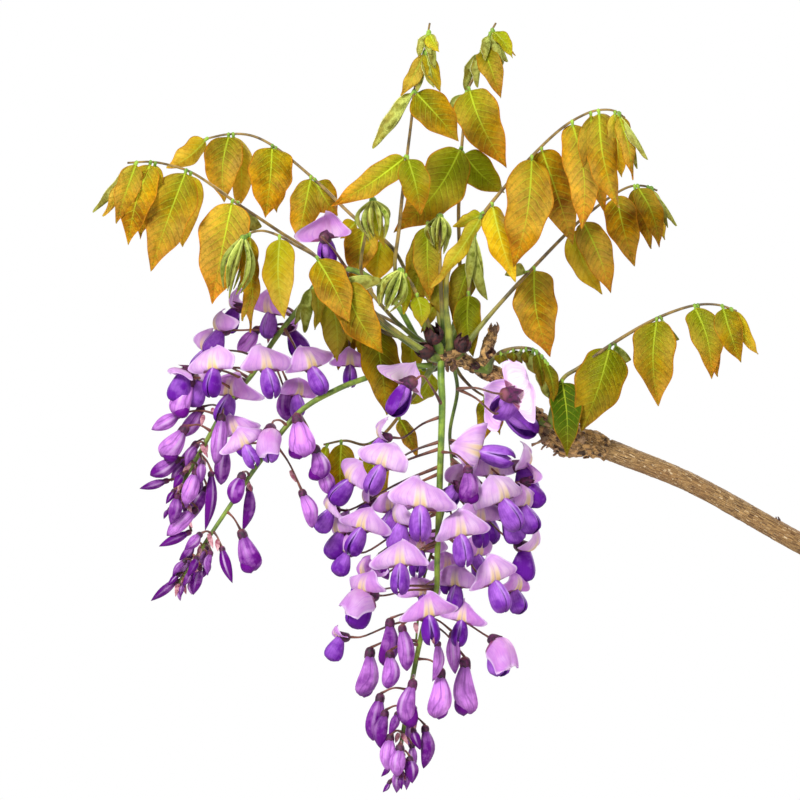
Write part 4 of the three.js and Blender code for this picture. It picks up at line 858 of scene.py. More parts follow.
# A leaf's row is its name, greenness, lightness, lean, lantern, stalk and leaflets. The lean is how much
# further back its far end arches, and the lantern how many folded leaflets hang in a ring there. The stalk
# is a list of points, in millimetres from the cluster. A leaflet is the place on the stalk that it hangs
# from (x and z), its tip (x, y and z), its width, and how far its blade is turned away from the front, in
# degrees. Some have a greenness and lightness of their own.
LEAVES = [
    ("leaf_left_back", 0.05, 1, 30, 0, [
        (-5, 5, 4), (-12, 8, 26), (-20.8, 11, 44.8), (-35.6, 14, 56.8), (-54, 17, 74.4), (-70.4, 19, 87.6),
        (-79, 20, 91.5), (-87.6, 20, 92), (-99.6, 21, 89.6),
    ], [
        (-99.6, 89.6, -113, 19, 78.4, 10, 30), (-88, 92, -89.2, 16, 64, 16, 0),
        (-86, 92, -83.6, 26, 61.6, 12, 20), (-70.4, 87.6, -72.4, 15, 57.6, 18.4, 0),
        (-69, 86.5, -68, 26, 60, 14, 20), (-54, 74.4, -59.2, 12, 46.8, 13, 0),
        (-53, 73.5, -43.2, 20, 58.4, 13, 10), (-35.6, 56.8, -42, 12, 49, 8, 20),
        (-32, 54, -36, 10, 33, 14, 0), (-26, 49, -27, 16, 32, 15, 10),
    ]),
    ("leaf_left_front", 0.05, 1.05, -24, 0, [
        (-7, -3, 2), (-11.6, -5, 5.2), (-24, -8, 13.6), (-38, -11, 27.5), (-52, -14, 41.6),
        (-66.4, -16, 51.2), (-83.2, -17, 62.4), (-99.6, -17, 73.6), (-106, -17, 76), (-115.6, -17, 78),
        (-125.6, -16, 77.6),
    ], [
        (-125.6, 77.6, -139.2, -14, 58, 5, 50), (-125, 77.6, -135.2, -18, 56.4, 7, 30),
        (-124, 77.7, -130, -20, 53.6, 10, 10), (-116, 78, -125.2, -22, 45.2, 13.6, 0),
        (-114, 77.8, -121, -8, 48, 11, 20), (-102.4, 74.8, -116.4, -22, 34.8, 18, 0),
        (-101, 74.3, -104.4, -8, 44.8, 14, 15), (-84, 63, -92.4, -22, 22, 20.8, 0),
        (-82, 61.8, -73, -9, 53, 10, 60),
    ]),
    ("leaf_left_short", 0.1, 0.95, -8, 8, [
        (-5, -6, 1), (-24, -17, 15), (-40, -24, 30.8), (-50.8, -28, 40.4), (-59.2, -30, 45.2),
        (-65.6, -32, 48.8), (-72.4, -33, 50.8), (-77.6, -34, 49.6), (-81.6, -34, 46.8),
    ], [
        (-81.6, 46.8, -87.6, -36, 26.4, 6, 60), (-81, 47.2, -85.2, -31, 26, 5, 60),
        (-80, 48, -81.2, -38, 24, 6, 60), (-79, 48.7, -80.4, -28, 15.2, 8, 30),
        (-77.6, 49.6, -77.6, -26, 10.8, 8, 30), (-65.6, 48.8, -63.6, -35, 16, 13, 10),
        (-50.8, 40.4, -38, -34, 14.8, 15, 0), (-40, 30.8, -24.8, -29, 2.4, 16, 0),
        (-41, 31.6, -25.2, -19, 32, 8, 40),
    ]),
    ("leaf_left_dark", 0.35, 0.62, 0, 0, [
        (-7.5, -0.5, 4.5), (-14, -2, 8), (-24, -3, 11), (-36, -4, 20), (-46, -5, 27), (-53, -6, 30.5),
    ], [
        (-53, 30.5, -60, -4, 14, 5, 50), (-53, 30.5, -56, -8, 10.8, 7, 40), (-52, 30, -52, -10, 12, 6, 30),
        (-46, 27, -43.2, -9, -0.8, 12, 10), (-40, 23, -37.6, -4, 6.8, 9, 30),
        (-28, 14, -23.2, -10, -22, 16, 0),
    ]),
    ("leaf_top_left", 0.15, 1.02, -24, 0, [
        (-4, -3, 8), (-10, -4, 17), (-18, -4.5, 28), (-20, -5, 36.8), (-18.4, -5, 52), (-17.2, -4, 64.4),
        (-15.2, -3, 81.2), (-13.2, -3, 97.6), (-12.4, -3, 106.8), (-9.2, -3, 115.6), (-7.6, -3, 125.6),
        (-6.2, -3, 133.4),
    ], [
        (-15.2, 81.6, -45.6, -6, 61.2, 11, 8, 0.4, 1.15), (-15, 81, -9.6, -8, 57.6, 12.5, 8, 0.6, 0.85),
        (-12.4, 107.4, -28.8, -4, 84, 6.5, 40, 0.1, 1.1), (-12, 106.6, 5.2, -8, 86.8, 15, 0),
        (-8.8, 122.4, -17.8, -3, 105, 6.6, 20, -0.2, 0.85), (-9, 120, -11, -6, 106.5, 4.4, 50, 0.2, 0.9),
        (-7.8, 122.8, -2, -6, 106.4, 6.4, 20, 0.2, 0.8), (-7.6, 122, -4.4, -7, 108, 4, 50, 0.3, 1),
        (-6.8, 131, -10.4, -4, 119.6, 4, 50, 0.1, 1), (-6.6, 131.6, -4, -6, 115.6, 4.6, 42, 0.3, 0.9),
        (-6, 134.6, -2.6, -5, 122, 6, 30, 0.6, 1.15), (-6.1, 134.4, -5.8, -5.5, 121.4, 4.2, 45, 0.8, 1.2),
    ]),
    ("leaf_top_right", 0.2, 1.02, 30, 0, [
        (2, 5, 6), (4.4, 7, 15.6), (6, 9, 30.8), (5.6, 9, 62.4), (6.8, 8, 74.4), (6.8, 7, 84.4),
        (7.6, 7, 94.4), (8.4, 7, 106.8), (12.4, 7, 115.6), (14.8, 7, 124.8), (17.6, 7, 130.8),
        (20.8, 7, 136.6),
    ], [
        (6.8, 85.2, -20.4, 3, 51.2, 20, 0, 0.55, 0.95), (7, 84.4, 24, 8, 67.2, 14, 8, 1, 0.95),
        (9.5, 109.4, 24.8, 2, 77.2, 18, 0), (7.8, 108, 2.6, 10, 96.4, 5.6, 40, 0.5, 0.85),
        (15.5, 126.4, 22.6, 4, 105.8, 10, 8, 0.3, 0.85), (14.4, 125, 8.4, 9, 108.8, 5.4, 40, 0.3, 0.8),
        (15, 125.6, 13.4, 4, 110, 5, 45, 0.2, 0.95), (18.4, 132.6, 16.4, 3, 121, 4.6, 45, 0.2, 1),
        (19.4, 134.6, 23.4, 3.5, 119, 5.4, 42, 0.2, 1), (20.2, 135.6, 25.6, 3, 120.6, 5.6, 45, 0.5, 0.7),
        (21, 137.4, 27.4, 3.5, 122, 6.4, 24, 0.9, 0.9), (21, 137.6, 28.6, 6, 123, 4.6, 30, 0.5, 1.3),
    ]),
    ("leaf_right_upper", -0.05, 1, -26, 0, [
        (2, -5, 6), (0.4, -8, 24), (2, -10, 37.6), (13.6, -12, 56), (22.4, -12, 67.2), (34.8, -11, 81.2),
        (46, -10, 91.6), (53, -10, 96), (59.2, -10, 98.4), (66.4, -10, 98.4), (71, -10, 95.5),
    ], [
        (18.4, 61.5, 28, -14, 30.8, 11, 10), (14.5, 57.5, -5.6, -15, 28.5, 7, 30, 0.3, 0.95),
        (15, 58, 3, -11, 53, 7, 30, 0.5, 0.85), (34.8, 81.2, 27.2, -17, 36.8, 19, 0),
        (38, 84, 50.8, 6, 46.4, 16, 0), (49.6, 94, 54, -16, 51.2, 15, 0), (57, 97.6, 63.2, -3, 58.8, 12, 10),
        (61, 98.6, 68.8, -15, 60, 13, 0), (67.5, 98.1, 70, -5, 72.4, 9, 10),
        (68.5, 97.6, 74, -13, 71, 7, 20), (70.6, 95.8, 76, -8, 75.6, 3.6, 40),
        (71, 95.5, 80, -11, 79, 3.6, 40),
    ]),
    ("leaf_right_middle", 0, 0.84, 20, 0, [
        (5, -1, 1), (14, -4, 13.2), (28, -4, 29.2), (36, -3, 37.6), (48.4, -3, 50.4), (55.2, -3, 56.8),
        (68.4, -2, 66.8), (75.2, -2, 70), (80.8, -2, 70), (85.5, -2, 68.3),
    ], [
        (35.6, 37.2, 42, -8, 1.2, 17.6, 0), (34, 35.6, 24, 2, 34, 7, 50),
        (55.2, 56.8, 66.4, -7, 26.8, 13, 0), (51, 53, 63, 3, 26.4, 12, 10),
        (68.4, 66.8, 76, -7, 37.6, 13.6, 0), (77.6, 70, 86, -7, 45.2, 9.6, 0), (76, 70, 83, 3, 44.8, 8, 10),
        (81.5, 69.8, 88.5, 2, 48.4, 7, 10), (84.5, 68.8, 89.6, -5, 53.2, 3.4, 40),
        (85.5, 68.3, 93.4, -2, 54, 3.4, 40),
    ]),
    ("leaf_right_low", 0.4, 0.84, -24, 0, [
        (42, 2, -27), (43.5, -3, -17), (47.2, -8, -7.2), (53.2, -8, -3.2), (67.2, -8, 6.8), (84.8, -8, 16.8),
        (99.2, -8, 21.6), (108.4, -8, 21.6), (115.2, -8, 19.2),
    ], [
        (45, -7, 48.4, -16, -38.4, 13, 0, 1.9, 0.9), (65.6, 5.6, 54, -14, -28.4, 20, 0),
        (67.2, 6.8, 74, -3, 0, 9, 50), (84.4, 16.6, 84.4, -14, -18.4, 17.6, 0), (85.5, 17, 93, -4, 8, 7, 50),
        (98.4, 21.4, 105.2, -14, -7.6, 13, 0), (99.8, 21.7, 108, -3, -6.8, 10, 10),
        (109, 21.5, 116.8, -12, -1.2, 11, 0), (115.2, 19.2, 123.6, -8, 2, 7, 20),
    ]),
    ("leaf_right_nodding", 0.7, 0.7, 0, 0, [
        (17, -2, -4), (19, -7, 0), (22.8, -13, 3.4), (30, -16, 4.8), (36, -16, 3.6), (41, -16, -2),
    ], [
        (22.5, 2.8, 21.4, -11, -1.6, 5, 20, 0.3, 0.55), (25, 3.5, 24.6, -10, -1.4, 5, 45, 0.2, 0.8),
        (27, 4, 27.4, -12, -1, 5.4, 20, 0.3, 0.6), (30, 4.4, 30.6, -11, -1.4, 5, 45, 0.2, 0.8),
        (32, 4.5, 33.2, -13, -2, 5.6, 20, 0.3, 0.55), (34.5, 4.2, 36.8, -13, -6, 6, 45, 0.3, 0.8),
        (36.5, 3.6, 39, -16, -12, 6.5, 20, 0.4, 0.6), (38.4, 2, 41, -17, -15, 6.5, 45, 0.4, 0.85),
        (40, 0, 43, -19, -17, 6, 25, 0.5, 0.7), (41, -1.6, 43.2, -16, -18, 4.5, 40, 0.7, 0.9),
    ]),
    ("leaf_centre_left", 0.35, 0.9, 0, 0, [
        (-1, 1.5, 8), (-3, 2, 20), (-6, 1.5, 40), (-7, 1, 56),
    ], [
        (-7, 55.8, -6, -1.5, 24, 12, 0), (-6.8, 52, -16, 2, 31, 9, 10),
        (-5.5, 42, 1, 3, 16, 10, 10, 0.5, 0.75), (-6.9, 54, -13.5, 3, 26, 11, 10, 0.4, 0.7),
        (-3.6, 24, -9.5, 0, 11, 6, 20), (-6.4, 47, -11.5, 4, 19, 11, 6, 0.6, 0.7),
        (-6, 40, -2.5, 3, 16, 11, 8, 0.6, 0.75),
    ]),
    ("leaf_centre_right", 0.35, 0.9, 4, 0, [
        (3, 2, 8), (8, 4, 20), (11, 4, 40), (12, 3, 52),
    ], [
        (12, 52, 9.5, 0, 29, 5, 40), (11.9, 51, 15, 5, 27, 6, 40), (11.5, 46, 17, 1, 24, 6, 40),
        (9.5, 27, 11.2, -1.5, 1.2, 11.5, 0, 0.8, 0.78), (11, 40, 3, 6, 16, 11, 4, 0.5, 0.66),
        (8.4, 22, 4, 6, 3, 8, 8, 0.7, 0.7),
    ]),
    ("leaf_young_left", 0.8, 0.95, -4, 10, [
        (-6, 2, 4), (-12, 1.5, 9), (-20, 0, 16), (-30, 0, 28), (-33.6, 0, 36), (-31.2, -1, 52.8),
        (-28.5, -1, 66),
    ], [
        (-28.5, 65, -32.5, -2, 48, 4, 40), (-28.5, 66, -29.5, -5, 50, 4, 50),
        (-28.5, 66, -26, -5, 50.5, 4, 50), (-28.5, 66, -22.5, -1, 50, 4, 40), (-28.5, 66, -24, 3, 45, 6, 20),
    ]),
    ("leaf_young_centre", 0.8, 0.95, -6, 10, [
        (-3, -6, 6), (-7.6, -9, 16.8), (-13.2, -11, 30), (-18, -12, 36.5),
    ], [
        (-18, 36.5, -27, -13, 22.5, 5, 40), (-18, 36.5, -24, -15, 20.5, 5, 50),
        (-18, 36.5, -20.5, -16, 19, 5, 50), (-16, 34, -16.5, -15, 18, 6, 30),
        (-11.5, 26, -9.5, -15, 13, 8, 10),
    ]),
    ("leaf_young_right", 0.8, 0.95, 0, 8, [
        (-0.5, -2.5, 8), (-1.5, -2.5, 25), (-2, -3, 44), (-2, -3.5, 59),
    ], [
        (-2, 58, -5.8, -4, 46, 4, 40), (-2, 59, -3.2, -7.5, 42, 4, 50), (-2, 59, 0.5, -6, 45, 4, 40),
    ]),
    ("leaf_low_left", 0.35, 0.95, 8, 0, [
        (-4, 4, -1), (-9, 9, -9), (-18, 15, -22), (-26, 18, -31), (-32, 18, -34), (-40, 18, -32.4),
        (-48.8, 18, -34),
    ], [
        (-30, -33.4, -26, 16, -60, 12, 0), (-42, -32.5, -42, 16, -58, 12, 10),
        (-48.8, -34, -52, 19, -46, 5, 30), (-19, -23, -11, 12, -39, 7, 20, 0.2, 1.1),
    ]),
    ("leaf_low_right", 0.5, 0.8, 0, 0, [
        (3, 4, -1), (7, 8, -7), (12, 10, -12), (16.8, 11, -15),
    ], [
        (16, -14.6, 15.2, 9, -32.8, 8, 0), (16.8, -15, 22, 14, -30, 7, 20),
    ]),
    ("leaf_inner_left", 0.4, 0.72, 8, 0, [
        (-3, 3, 2), (-12, 6, 10), (-26, 9, 18), (-38, 11, 22),
    ], [
        (-38, 22, -43, 9, -4, 13, 0), (-27, 18.5, -30, 8, -9, 14, 10), (-14, 11.5, -13, 7, -7.5, 10, 20),
        (-33, 20.5, -36, 12, 40, 12, 10),
    ]),
    ("leaf_inner_lower", 0.8, 0.85, 4, 0, [
        (0, 3, -1), (-4, 6, -4), (-8, 8, -4),
    ], [
        (-5, -4.2, -13.5, 5, -17.5, 9, 10), (-8, -4, -14, 6, -3, 5, 30),
    ]),
]
LEAFLET = [
    (0, 0.0), (0.025, 0.4), (0.07, 0.68), (0.15, 0.9), (0.27, 1.0), (0.4, 1.0), (0.54, 0.92), (0.67, 0.75),
    (0.79, 0.51), (0.88, 0.28), (0.94, 0.14), (0.975, 0.07), (1, 0),
]
FOLDED_LEAFLET = [(0, 0.1), (0.1, 0.6), (0.3, 0.95), (0.5, 1), (0.7, 0.8), (0.86, 0.5), (0.95, 0.25),
                  (1, 0.05)]
FOLDED_TURN = 40  # a leaflet turned this far or more is still folded
SUNLIT_TURN = 10  # and one turned this far or more may be a paler one, lit through from behind
LANTERN_REACH = 9 * MM  # a folded leaflet this near the end of a young leaf's stalk is part of its lantern
LEAF_SEED = 100
STALK_RADII = [2.0, 1.05, 0.82, 0.78, 0.72, 0.65, 0.58, 0.5, 0.42]
STALK_SAMPLES = 80
STALK_ROOT = 5 * MM  # how far a leaf's stalk runs on into the spurs
OWN_STALK = 1.5 * MM  # the length of a leaflet's own stalk
VEIN_GAP = 3.4  # millimetres from one side vein to the next on a leaflet of VEINED_LENGTH
VEINED_LENGTH = 40

stalks, given, result = geometry_tree("round_stalks", {"Sides": ("Int", 8), "Material": ("Material", None)})
beside = Field(add_node(stalks, "GeometryNodeInputMeshEdgeNeighbors").outputs[0])
bare = {"Geometry": given["Geometry"], "Selection": beside.maths("LESS_THAN", 1.0)}
bare = add_node(stalks, "GeometryNodeSeparateGeometry", bare, domain="EDGE").outputs
section = add_node(stalks, "GeometryNodeCurvePrimitiveCircle", {"Resolution": given["Sides"], "Radius": 1.0})
tube = add_node(stalks, "GeometryNodeCurveToMesh", {
    "Curve": add_node(stalks, "GeometryNodeMeshToCurve", {"Mesh": bare["Selection"]}).outputs[0],
    "Profile Curve": section.outputs[0], "Scale": named(stalks, "thick"), "Fill Caps": True,
})
smooth_tube = add_node(stalks, "GeometryNodeSetShadeSmooth", {"Geometry": tube.outputs[0]})
painted(stalks, smooth_tube.outputs[0], given["Material"], result, rest=bare["Inverted"])

soft_stalk = Finish("soft_stalk")
place = object_place(soft_stalk.tree)
_, green, light, red = attribute(soft_stalk.tree, "tint")
along = attribute(soft_stalk.tree, "place")[2]
mottle = place.grain(190, 4)
even = mottle.span(0.35, 0.65)
greening = (along.span(0.4, 0.0) * green).at_least(green - 1.0)
body = even.between((76, 58, 8), (150, 122, 46)).coated(
    (greening, even.between((74, 108, 12), (134, 166, 42))),
    (red, even.between((64, 18, 26), (132, 62, 58))),
)
soft_stalk.shader.inputs["Sheen Weight"].default_value = 0.2
soft_stalk.lay(body.shaded(light), mottle.span(0.2, 0.8, 0.42, 0.62), place.grain(2500, 2), 0.25, 0.2 * MM)


def shader_group(name, inputs):
    """A group of nodes for an effect that several materials use. Its inputs are {name: default}."""
    tree = bpy.data.node_groups.new(name, "ShaderNodeTree")
    for label, default in inputs.items():
        kind = "NodeSocketVector" if isinstance(default, tuple) else "NodeSocketFloat"
        tree.interface.new_socket(label, in_out="INPUT", socket_type=kind).default_value = default
    return tree, tree.nodes.new("NodeGroupInput").outputs


def end_group(tree, masks):
    for label in masks:
        tree.interface.new_socket(label, in_out="OUTPUT", socket_type="NodeSocketFloat")
    add_node(tree, "NodeGroupOutput", masks)


def masks_of(tree, group, values=None):
    """What a group gives, once it is placed in a material's tree with that material's own values."""
    return [Field(mask) for mask in add_node(tree, "ShaderNodeGroup", values, node_tree=group).outputs]


# A leaf's veins: masks for the midrib, the side veins and the rim, the painted shade beside each side vein,
# the fine net between them, broad patches, and patches where a sheen is painted on, all from a leaflet's
# place and spot.
veins, given = shader_group("leaf_veins", {"Midrib Width": 0.42, "Vein Width": 0.1})
_, across, along, _ = attribute(veins, "place")
_, across_mm, veins_along, _ = attribute(veins, "spot")
place = object_place(veins)
across = abs(across)
rib_width = along.span(0.0, 1.0, 1.0, 0.3, smooth=False) * given["Midrib Width"]
beat = (veins_along + (place.grain(240) - 0.5) * 0.55).maths("FRACT")
to_vein = 0.5 - abs(beat - 0.5)
cells = {"Vector": place, "Scale": 950.0}
cells = Field(add_node(veins, "ShaderNodeTexVoronoi", cells, feature="DISTANCE_TO_EDGE").outputs["Distance"])
end_group(veins, {
    "Midrib": (abs(across_mm) / rib_width).span(1.3, 0.5),
    "Veins": to_vein.span(given["Vein Width"], 0.0) * across.span(1.0, 0.3, 0.1, 1.0),
    "Rim": across.span(0.88, 0.99),
    "Along": along,
    "Across": across,
    "Shade": beat.span(0.45, 0.02),
    "Net": cells.span(0.14, 0.02),
    "Patches": place.grain(110, 5, 0.65),
    # Broad patches where a sheen is painted on.
    "Painted Sheen": place.grain(46, 2),
    "Mottle": place.grain(620, 4, 0.7),
})


def leaf_finish(name, bronze, pale, green, deep, tip, rib, rim, shade, bloom_and_painted_sheen, rim_share, through_share):
    """Leaf tissue: the blade, its green form, its tip, its veins and its rim, with light let through, and a
    sheen painted on in broad patches and fine flecks.
    """
    finish = Finish(name)
    shown = masks_of(finish.tree, veins)
    midrib, vein, edge, along, across, beside, net, patches, sheen_patches, mottle = shown
    _, greenness, light, tipped = attribute(finish.tree, "tint")
    greening = along.span(0.6, 0.0, 0.0, 0.46) + across.span(0.0, 0.75, 0.2, -0.16)
    body = patches.span(0.34, 0.7).between(bronze, pale).coated(
        # A sheen painted on in broad patches.
        ((sheen_patches + tipped * 0.25).span(0.5, 0.76, 0.0, 0.5), bloom_and_painted_sheen),
        ((greenness + greening).at_least(0.0).at_most(1.0), green),
        ((greenness - 1.0).at_least(0.0).at_most(1.0), deep),
        (along.span(0.5, 1.0) * tipped, tip),
        (beside * patches.span(0.3, 0.6, 0.42, 0.2), shade),
        (net * 0.1, shade),
        (edge * rim_share, rim),
        (mottle.span(0.5, 0.36, 0.0, 0.3), shade),
        # Fine flecks of painted sheen.
        (mottle.span(0.54, 0.7, 0.0, 0.16), bloom_and_painted_sheen),
        (vein * along.span(0.1, 0.8, 0.66, 0.36), rib),
        (midrib * along.span(0.2, 0.8, 0.9, 0.25), rib),
    ).shaded(light)
    finish.shader.inputs["Specular IOR Level"].default_value = 0.1
    height = net * -0.7 + vein * -0.8 + object_place(finish.tree).grain(900) * 0.6
    finish.lay(body, patches.span(0.2, 0.8, 0.4, 0.58), height, 0.55, 0.4 * MM)
    finish.let_through(body, through_share)
    return finish


# Each leaf finish's ninth colour is the colour of its painted sheen.
bronze_leaf = leaf_finish(
    "bronze_leaf", (144, 90, 0), (232, 174, 4), (152, 162, 4), (76, 118, 8), (214, 132, 26),
    (206, 224, 56), (228, 150, 34), (96, 60, 0), (244, 208, 84), 0.75, 0.34)
# A paler copy of the bronze leaf, for leaflets lit from behind: painted back light in its colours.
sunlit_leaf = leaf_finish(
    "sunlit_leaf", (220, 178, 6), (244, 220, 50), (196, 206, 26), (120, 160, 30), (228, 180, 60),
    (226, 236, 90), (228, 166, 50), (176, 130, 0), (250, 226, 110), 0.7, 0.5)
folded_leaf = leaf_finish(
    "folded_leaf", (112, 88, 10), (170, 146, 36), (104, 130, 12), (64, 104, 10), (150, 134, 40),
    (228, 238, 124), (252, 250, 186), (58, 62, 2), (196, 196, 96), 1.0, 0.26)


def own_stalk(growth, base, start, tip, face):
    """The short soft stalk of one leaflet, which runs on under its blade."""
    elbow = base.lerp(start, 0.4) + (face * 0.2 + Vector((0, 0, 0.25))) * OWN_STALK
    soft = smooth_path([base, elbow, start, start.lerp(tip, 0.06) - face * 0.25 * MM], 9)
    growth.stalk(soft, [0.8, 0.75, 0.6, 0.3], (2.0, 1.25, 0))


def grow_lantern(growth, folded, count, light, draw):
    """The ring of folded leaflets at the end of a young leaf, round the ones that the table gives."""
    top = sum((base for base, _, _ in folded), Vector()) / len(folded)
    low = sum((tip for _, tip, _ in folded), Vector()) / len(folded)
    spread_out = max((tip - low).length + 0.3 * width * MM for _, tip, width in folded)
    down = (low - top).normalized()
    side = down.cross(Vector((0, 1, 0))).normalized()
    for number in range(count):
        outward = square_to(down, TAU * (number + draw.uniform(-0.25, 0.25)) / count, side)
        start = top + outward * 0.9 * MM + down * 0.8 * MM
        tip = low + outward * spread_out * draw.uniform(0.35, 0.6) + down * draw.uniform(-2.5, 2.5) * MM
        own_stalk(growth, top, start, tip, outward)
        bow = spread_out * draw.uniform(0.6, 0.85) / (tip - start).length
        tint = (draw.uniform(0.1, 1.0), light * draw.uniform(0.8, 1.25), draw.uniform(0, 1))
        thin_blade(growth, start, tip, outward, draw.uniform(4.2, 6.0), FOLDED_LEAFLET, tint, finish=1,
                   rows=18, sides=6, bow=bow, sway=draw.uniform(-0.05, 0.05),
                   fold=draw.uniform(1.0, 1.25), twist=draw.uniform(-0.4, 0.4), ripple=0.2,
                   phase=draw.uniform(0, 6), thickness=0.4, midrib=0.3, value=draw.random())


for number, (name, green, light, lean, lantern, stalk, leaflets) in enumerate(LEAVES):
    draw = random.Random(LEAF_SEED + number)
    growth = Growth()
    reach = max(math.hypot(x, z) for x, _, z in stalk)

    def leaning(x, y, z):
        return point(x, y + lean * (math.hypot(x, z) / reach) ** 2, z)

    path = evenly(smooth_path([leaning(*p) for p in stalk], 20 * len(stalk)), STALK_SAMPLES + 1)
    inward = unit(np.array(CLUSTER) - path[0]) * STALK_ROOT
    growth.stalk(np.vstack([[path[0] + inward], path]), STALK_RADII, (0.7 + 0.5 * green, light, 0.1))
    folded = []
    for from_x, from_z, x, y, z, width, turn, *own in leaflets:
        own_green = own[0] if own else green + draw.uniform(-0.15, 0.15)
        own_light = light * (own[1] if own else draw.uniform(0.86, 1.1))
        seen_from = np.hypot(path[:-2, 0] - point(from_x, 0, 0).x, path[:-2, 2] - point(0, 0, from_z).z)
        base, tip = Vector(path[seen_from.argmin()]), leaning(x, y, z)
        if turn >= FOLDED_TURN and lantern and (base - Vector(path[-1])).length < LANTERN_REACH:
            folded.append((base, tip, width))
            continue
        down = (tip - base).normalized()
        face = Vector((0, -1, 0))
        face = (face - face.dot(down) * down).normalized()
        face.rotate(Matrix.Rotation(math.radians(turn), 3, -down))
        start = base + down * OWN_STALK * 0.9
        own_stalk(growth, base, start, tip, face)
        length = (tip - start).length / MM
        tint = (own_green, own_light, draw.uniform(0.2, 0.9))
        if turn >= FOLDED_TURN:
            thin_blade(growth, start, tip, face, width * 2.0, FOLDED_LEAFLET, tint, finish=1,
                       rows=max(12, int(length)), sides=6, bow=draw.uniform(0.04, 0.1),
                       sway=draw.uniform(-0.08, 0.08), fold=draw.uniform(0.95, 1.2),
                       twist=draw.uniform(-0.5, 0.5), ripple=0.3, phase=draw.uniform(0, 6),
                       thickness=0.35, midrib=0.22, value=draw.random())
        else:
            fold = draw.choice((-1, -1, 1)) * draw.uniform(0.15, 0.5)
            sunlit = turn >= SUNLIT_TURN and draw.random() < 0.7
            vein_gap = VEIN_GAP * (0.6 + 0.4 * length / VEINED_LENGTH)
            thin_blade(growth, start, tip, face, width * 0.97 / math.cos(fold), LEAFLET, tint,
                       finish=2 if sunlit else 0, rows=min(50, max(16, int(1.5 * length))),
                       sides=9 if width > 9 else 6, bow=draw.uniform(0.02, 0.1),
                       sway=draw.uniform(-0.07, 0.07), fold=fold, twist=draw.uniform(-0.6, 0.6),
                       ripple=0.034 * length, roll=draw.uniform(-0.2, 0.3), phase=draw.uniform(0, 6),
                       thickness=0.3, vein_gap=vein_gap, midrib=0.2, value=draw.random())
    if lantern:
        grow_lantern(growth, folded, lantern, light, draw)
    piece = growth.as_object(name.replace("leaf_", "") + "_leaf", bronze_leaf, folded_leaf, sunlit_leaf)
    use_tree(piece, stalks, {"Sides": 10, "Material": soft_stalk.material})
    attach(piece, "root")
    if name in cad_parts:
        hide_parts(name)
    "young_leaf" if "young" in name else "leaf"
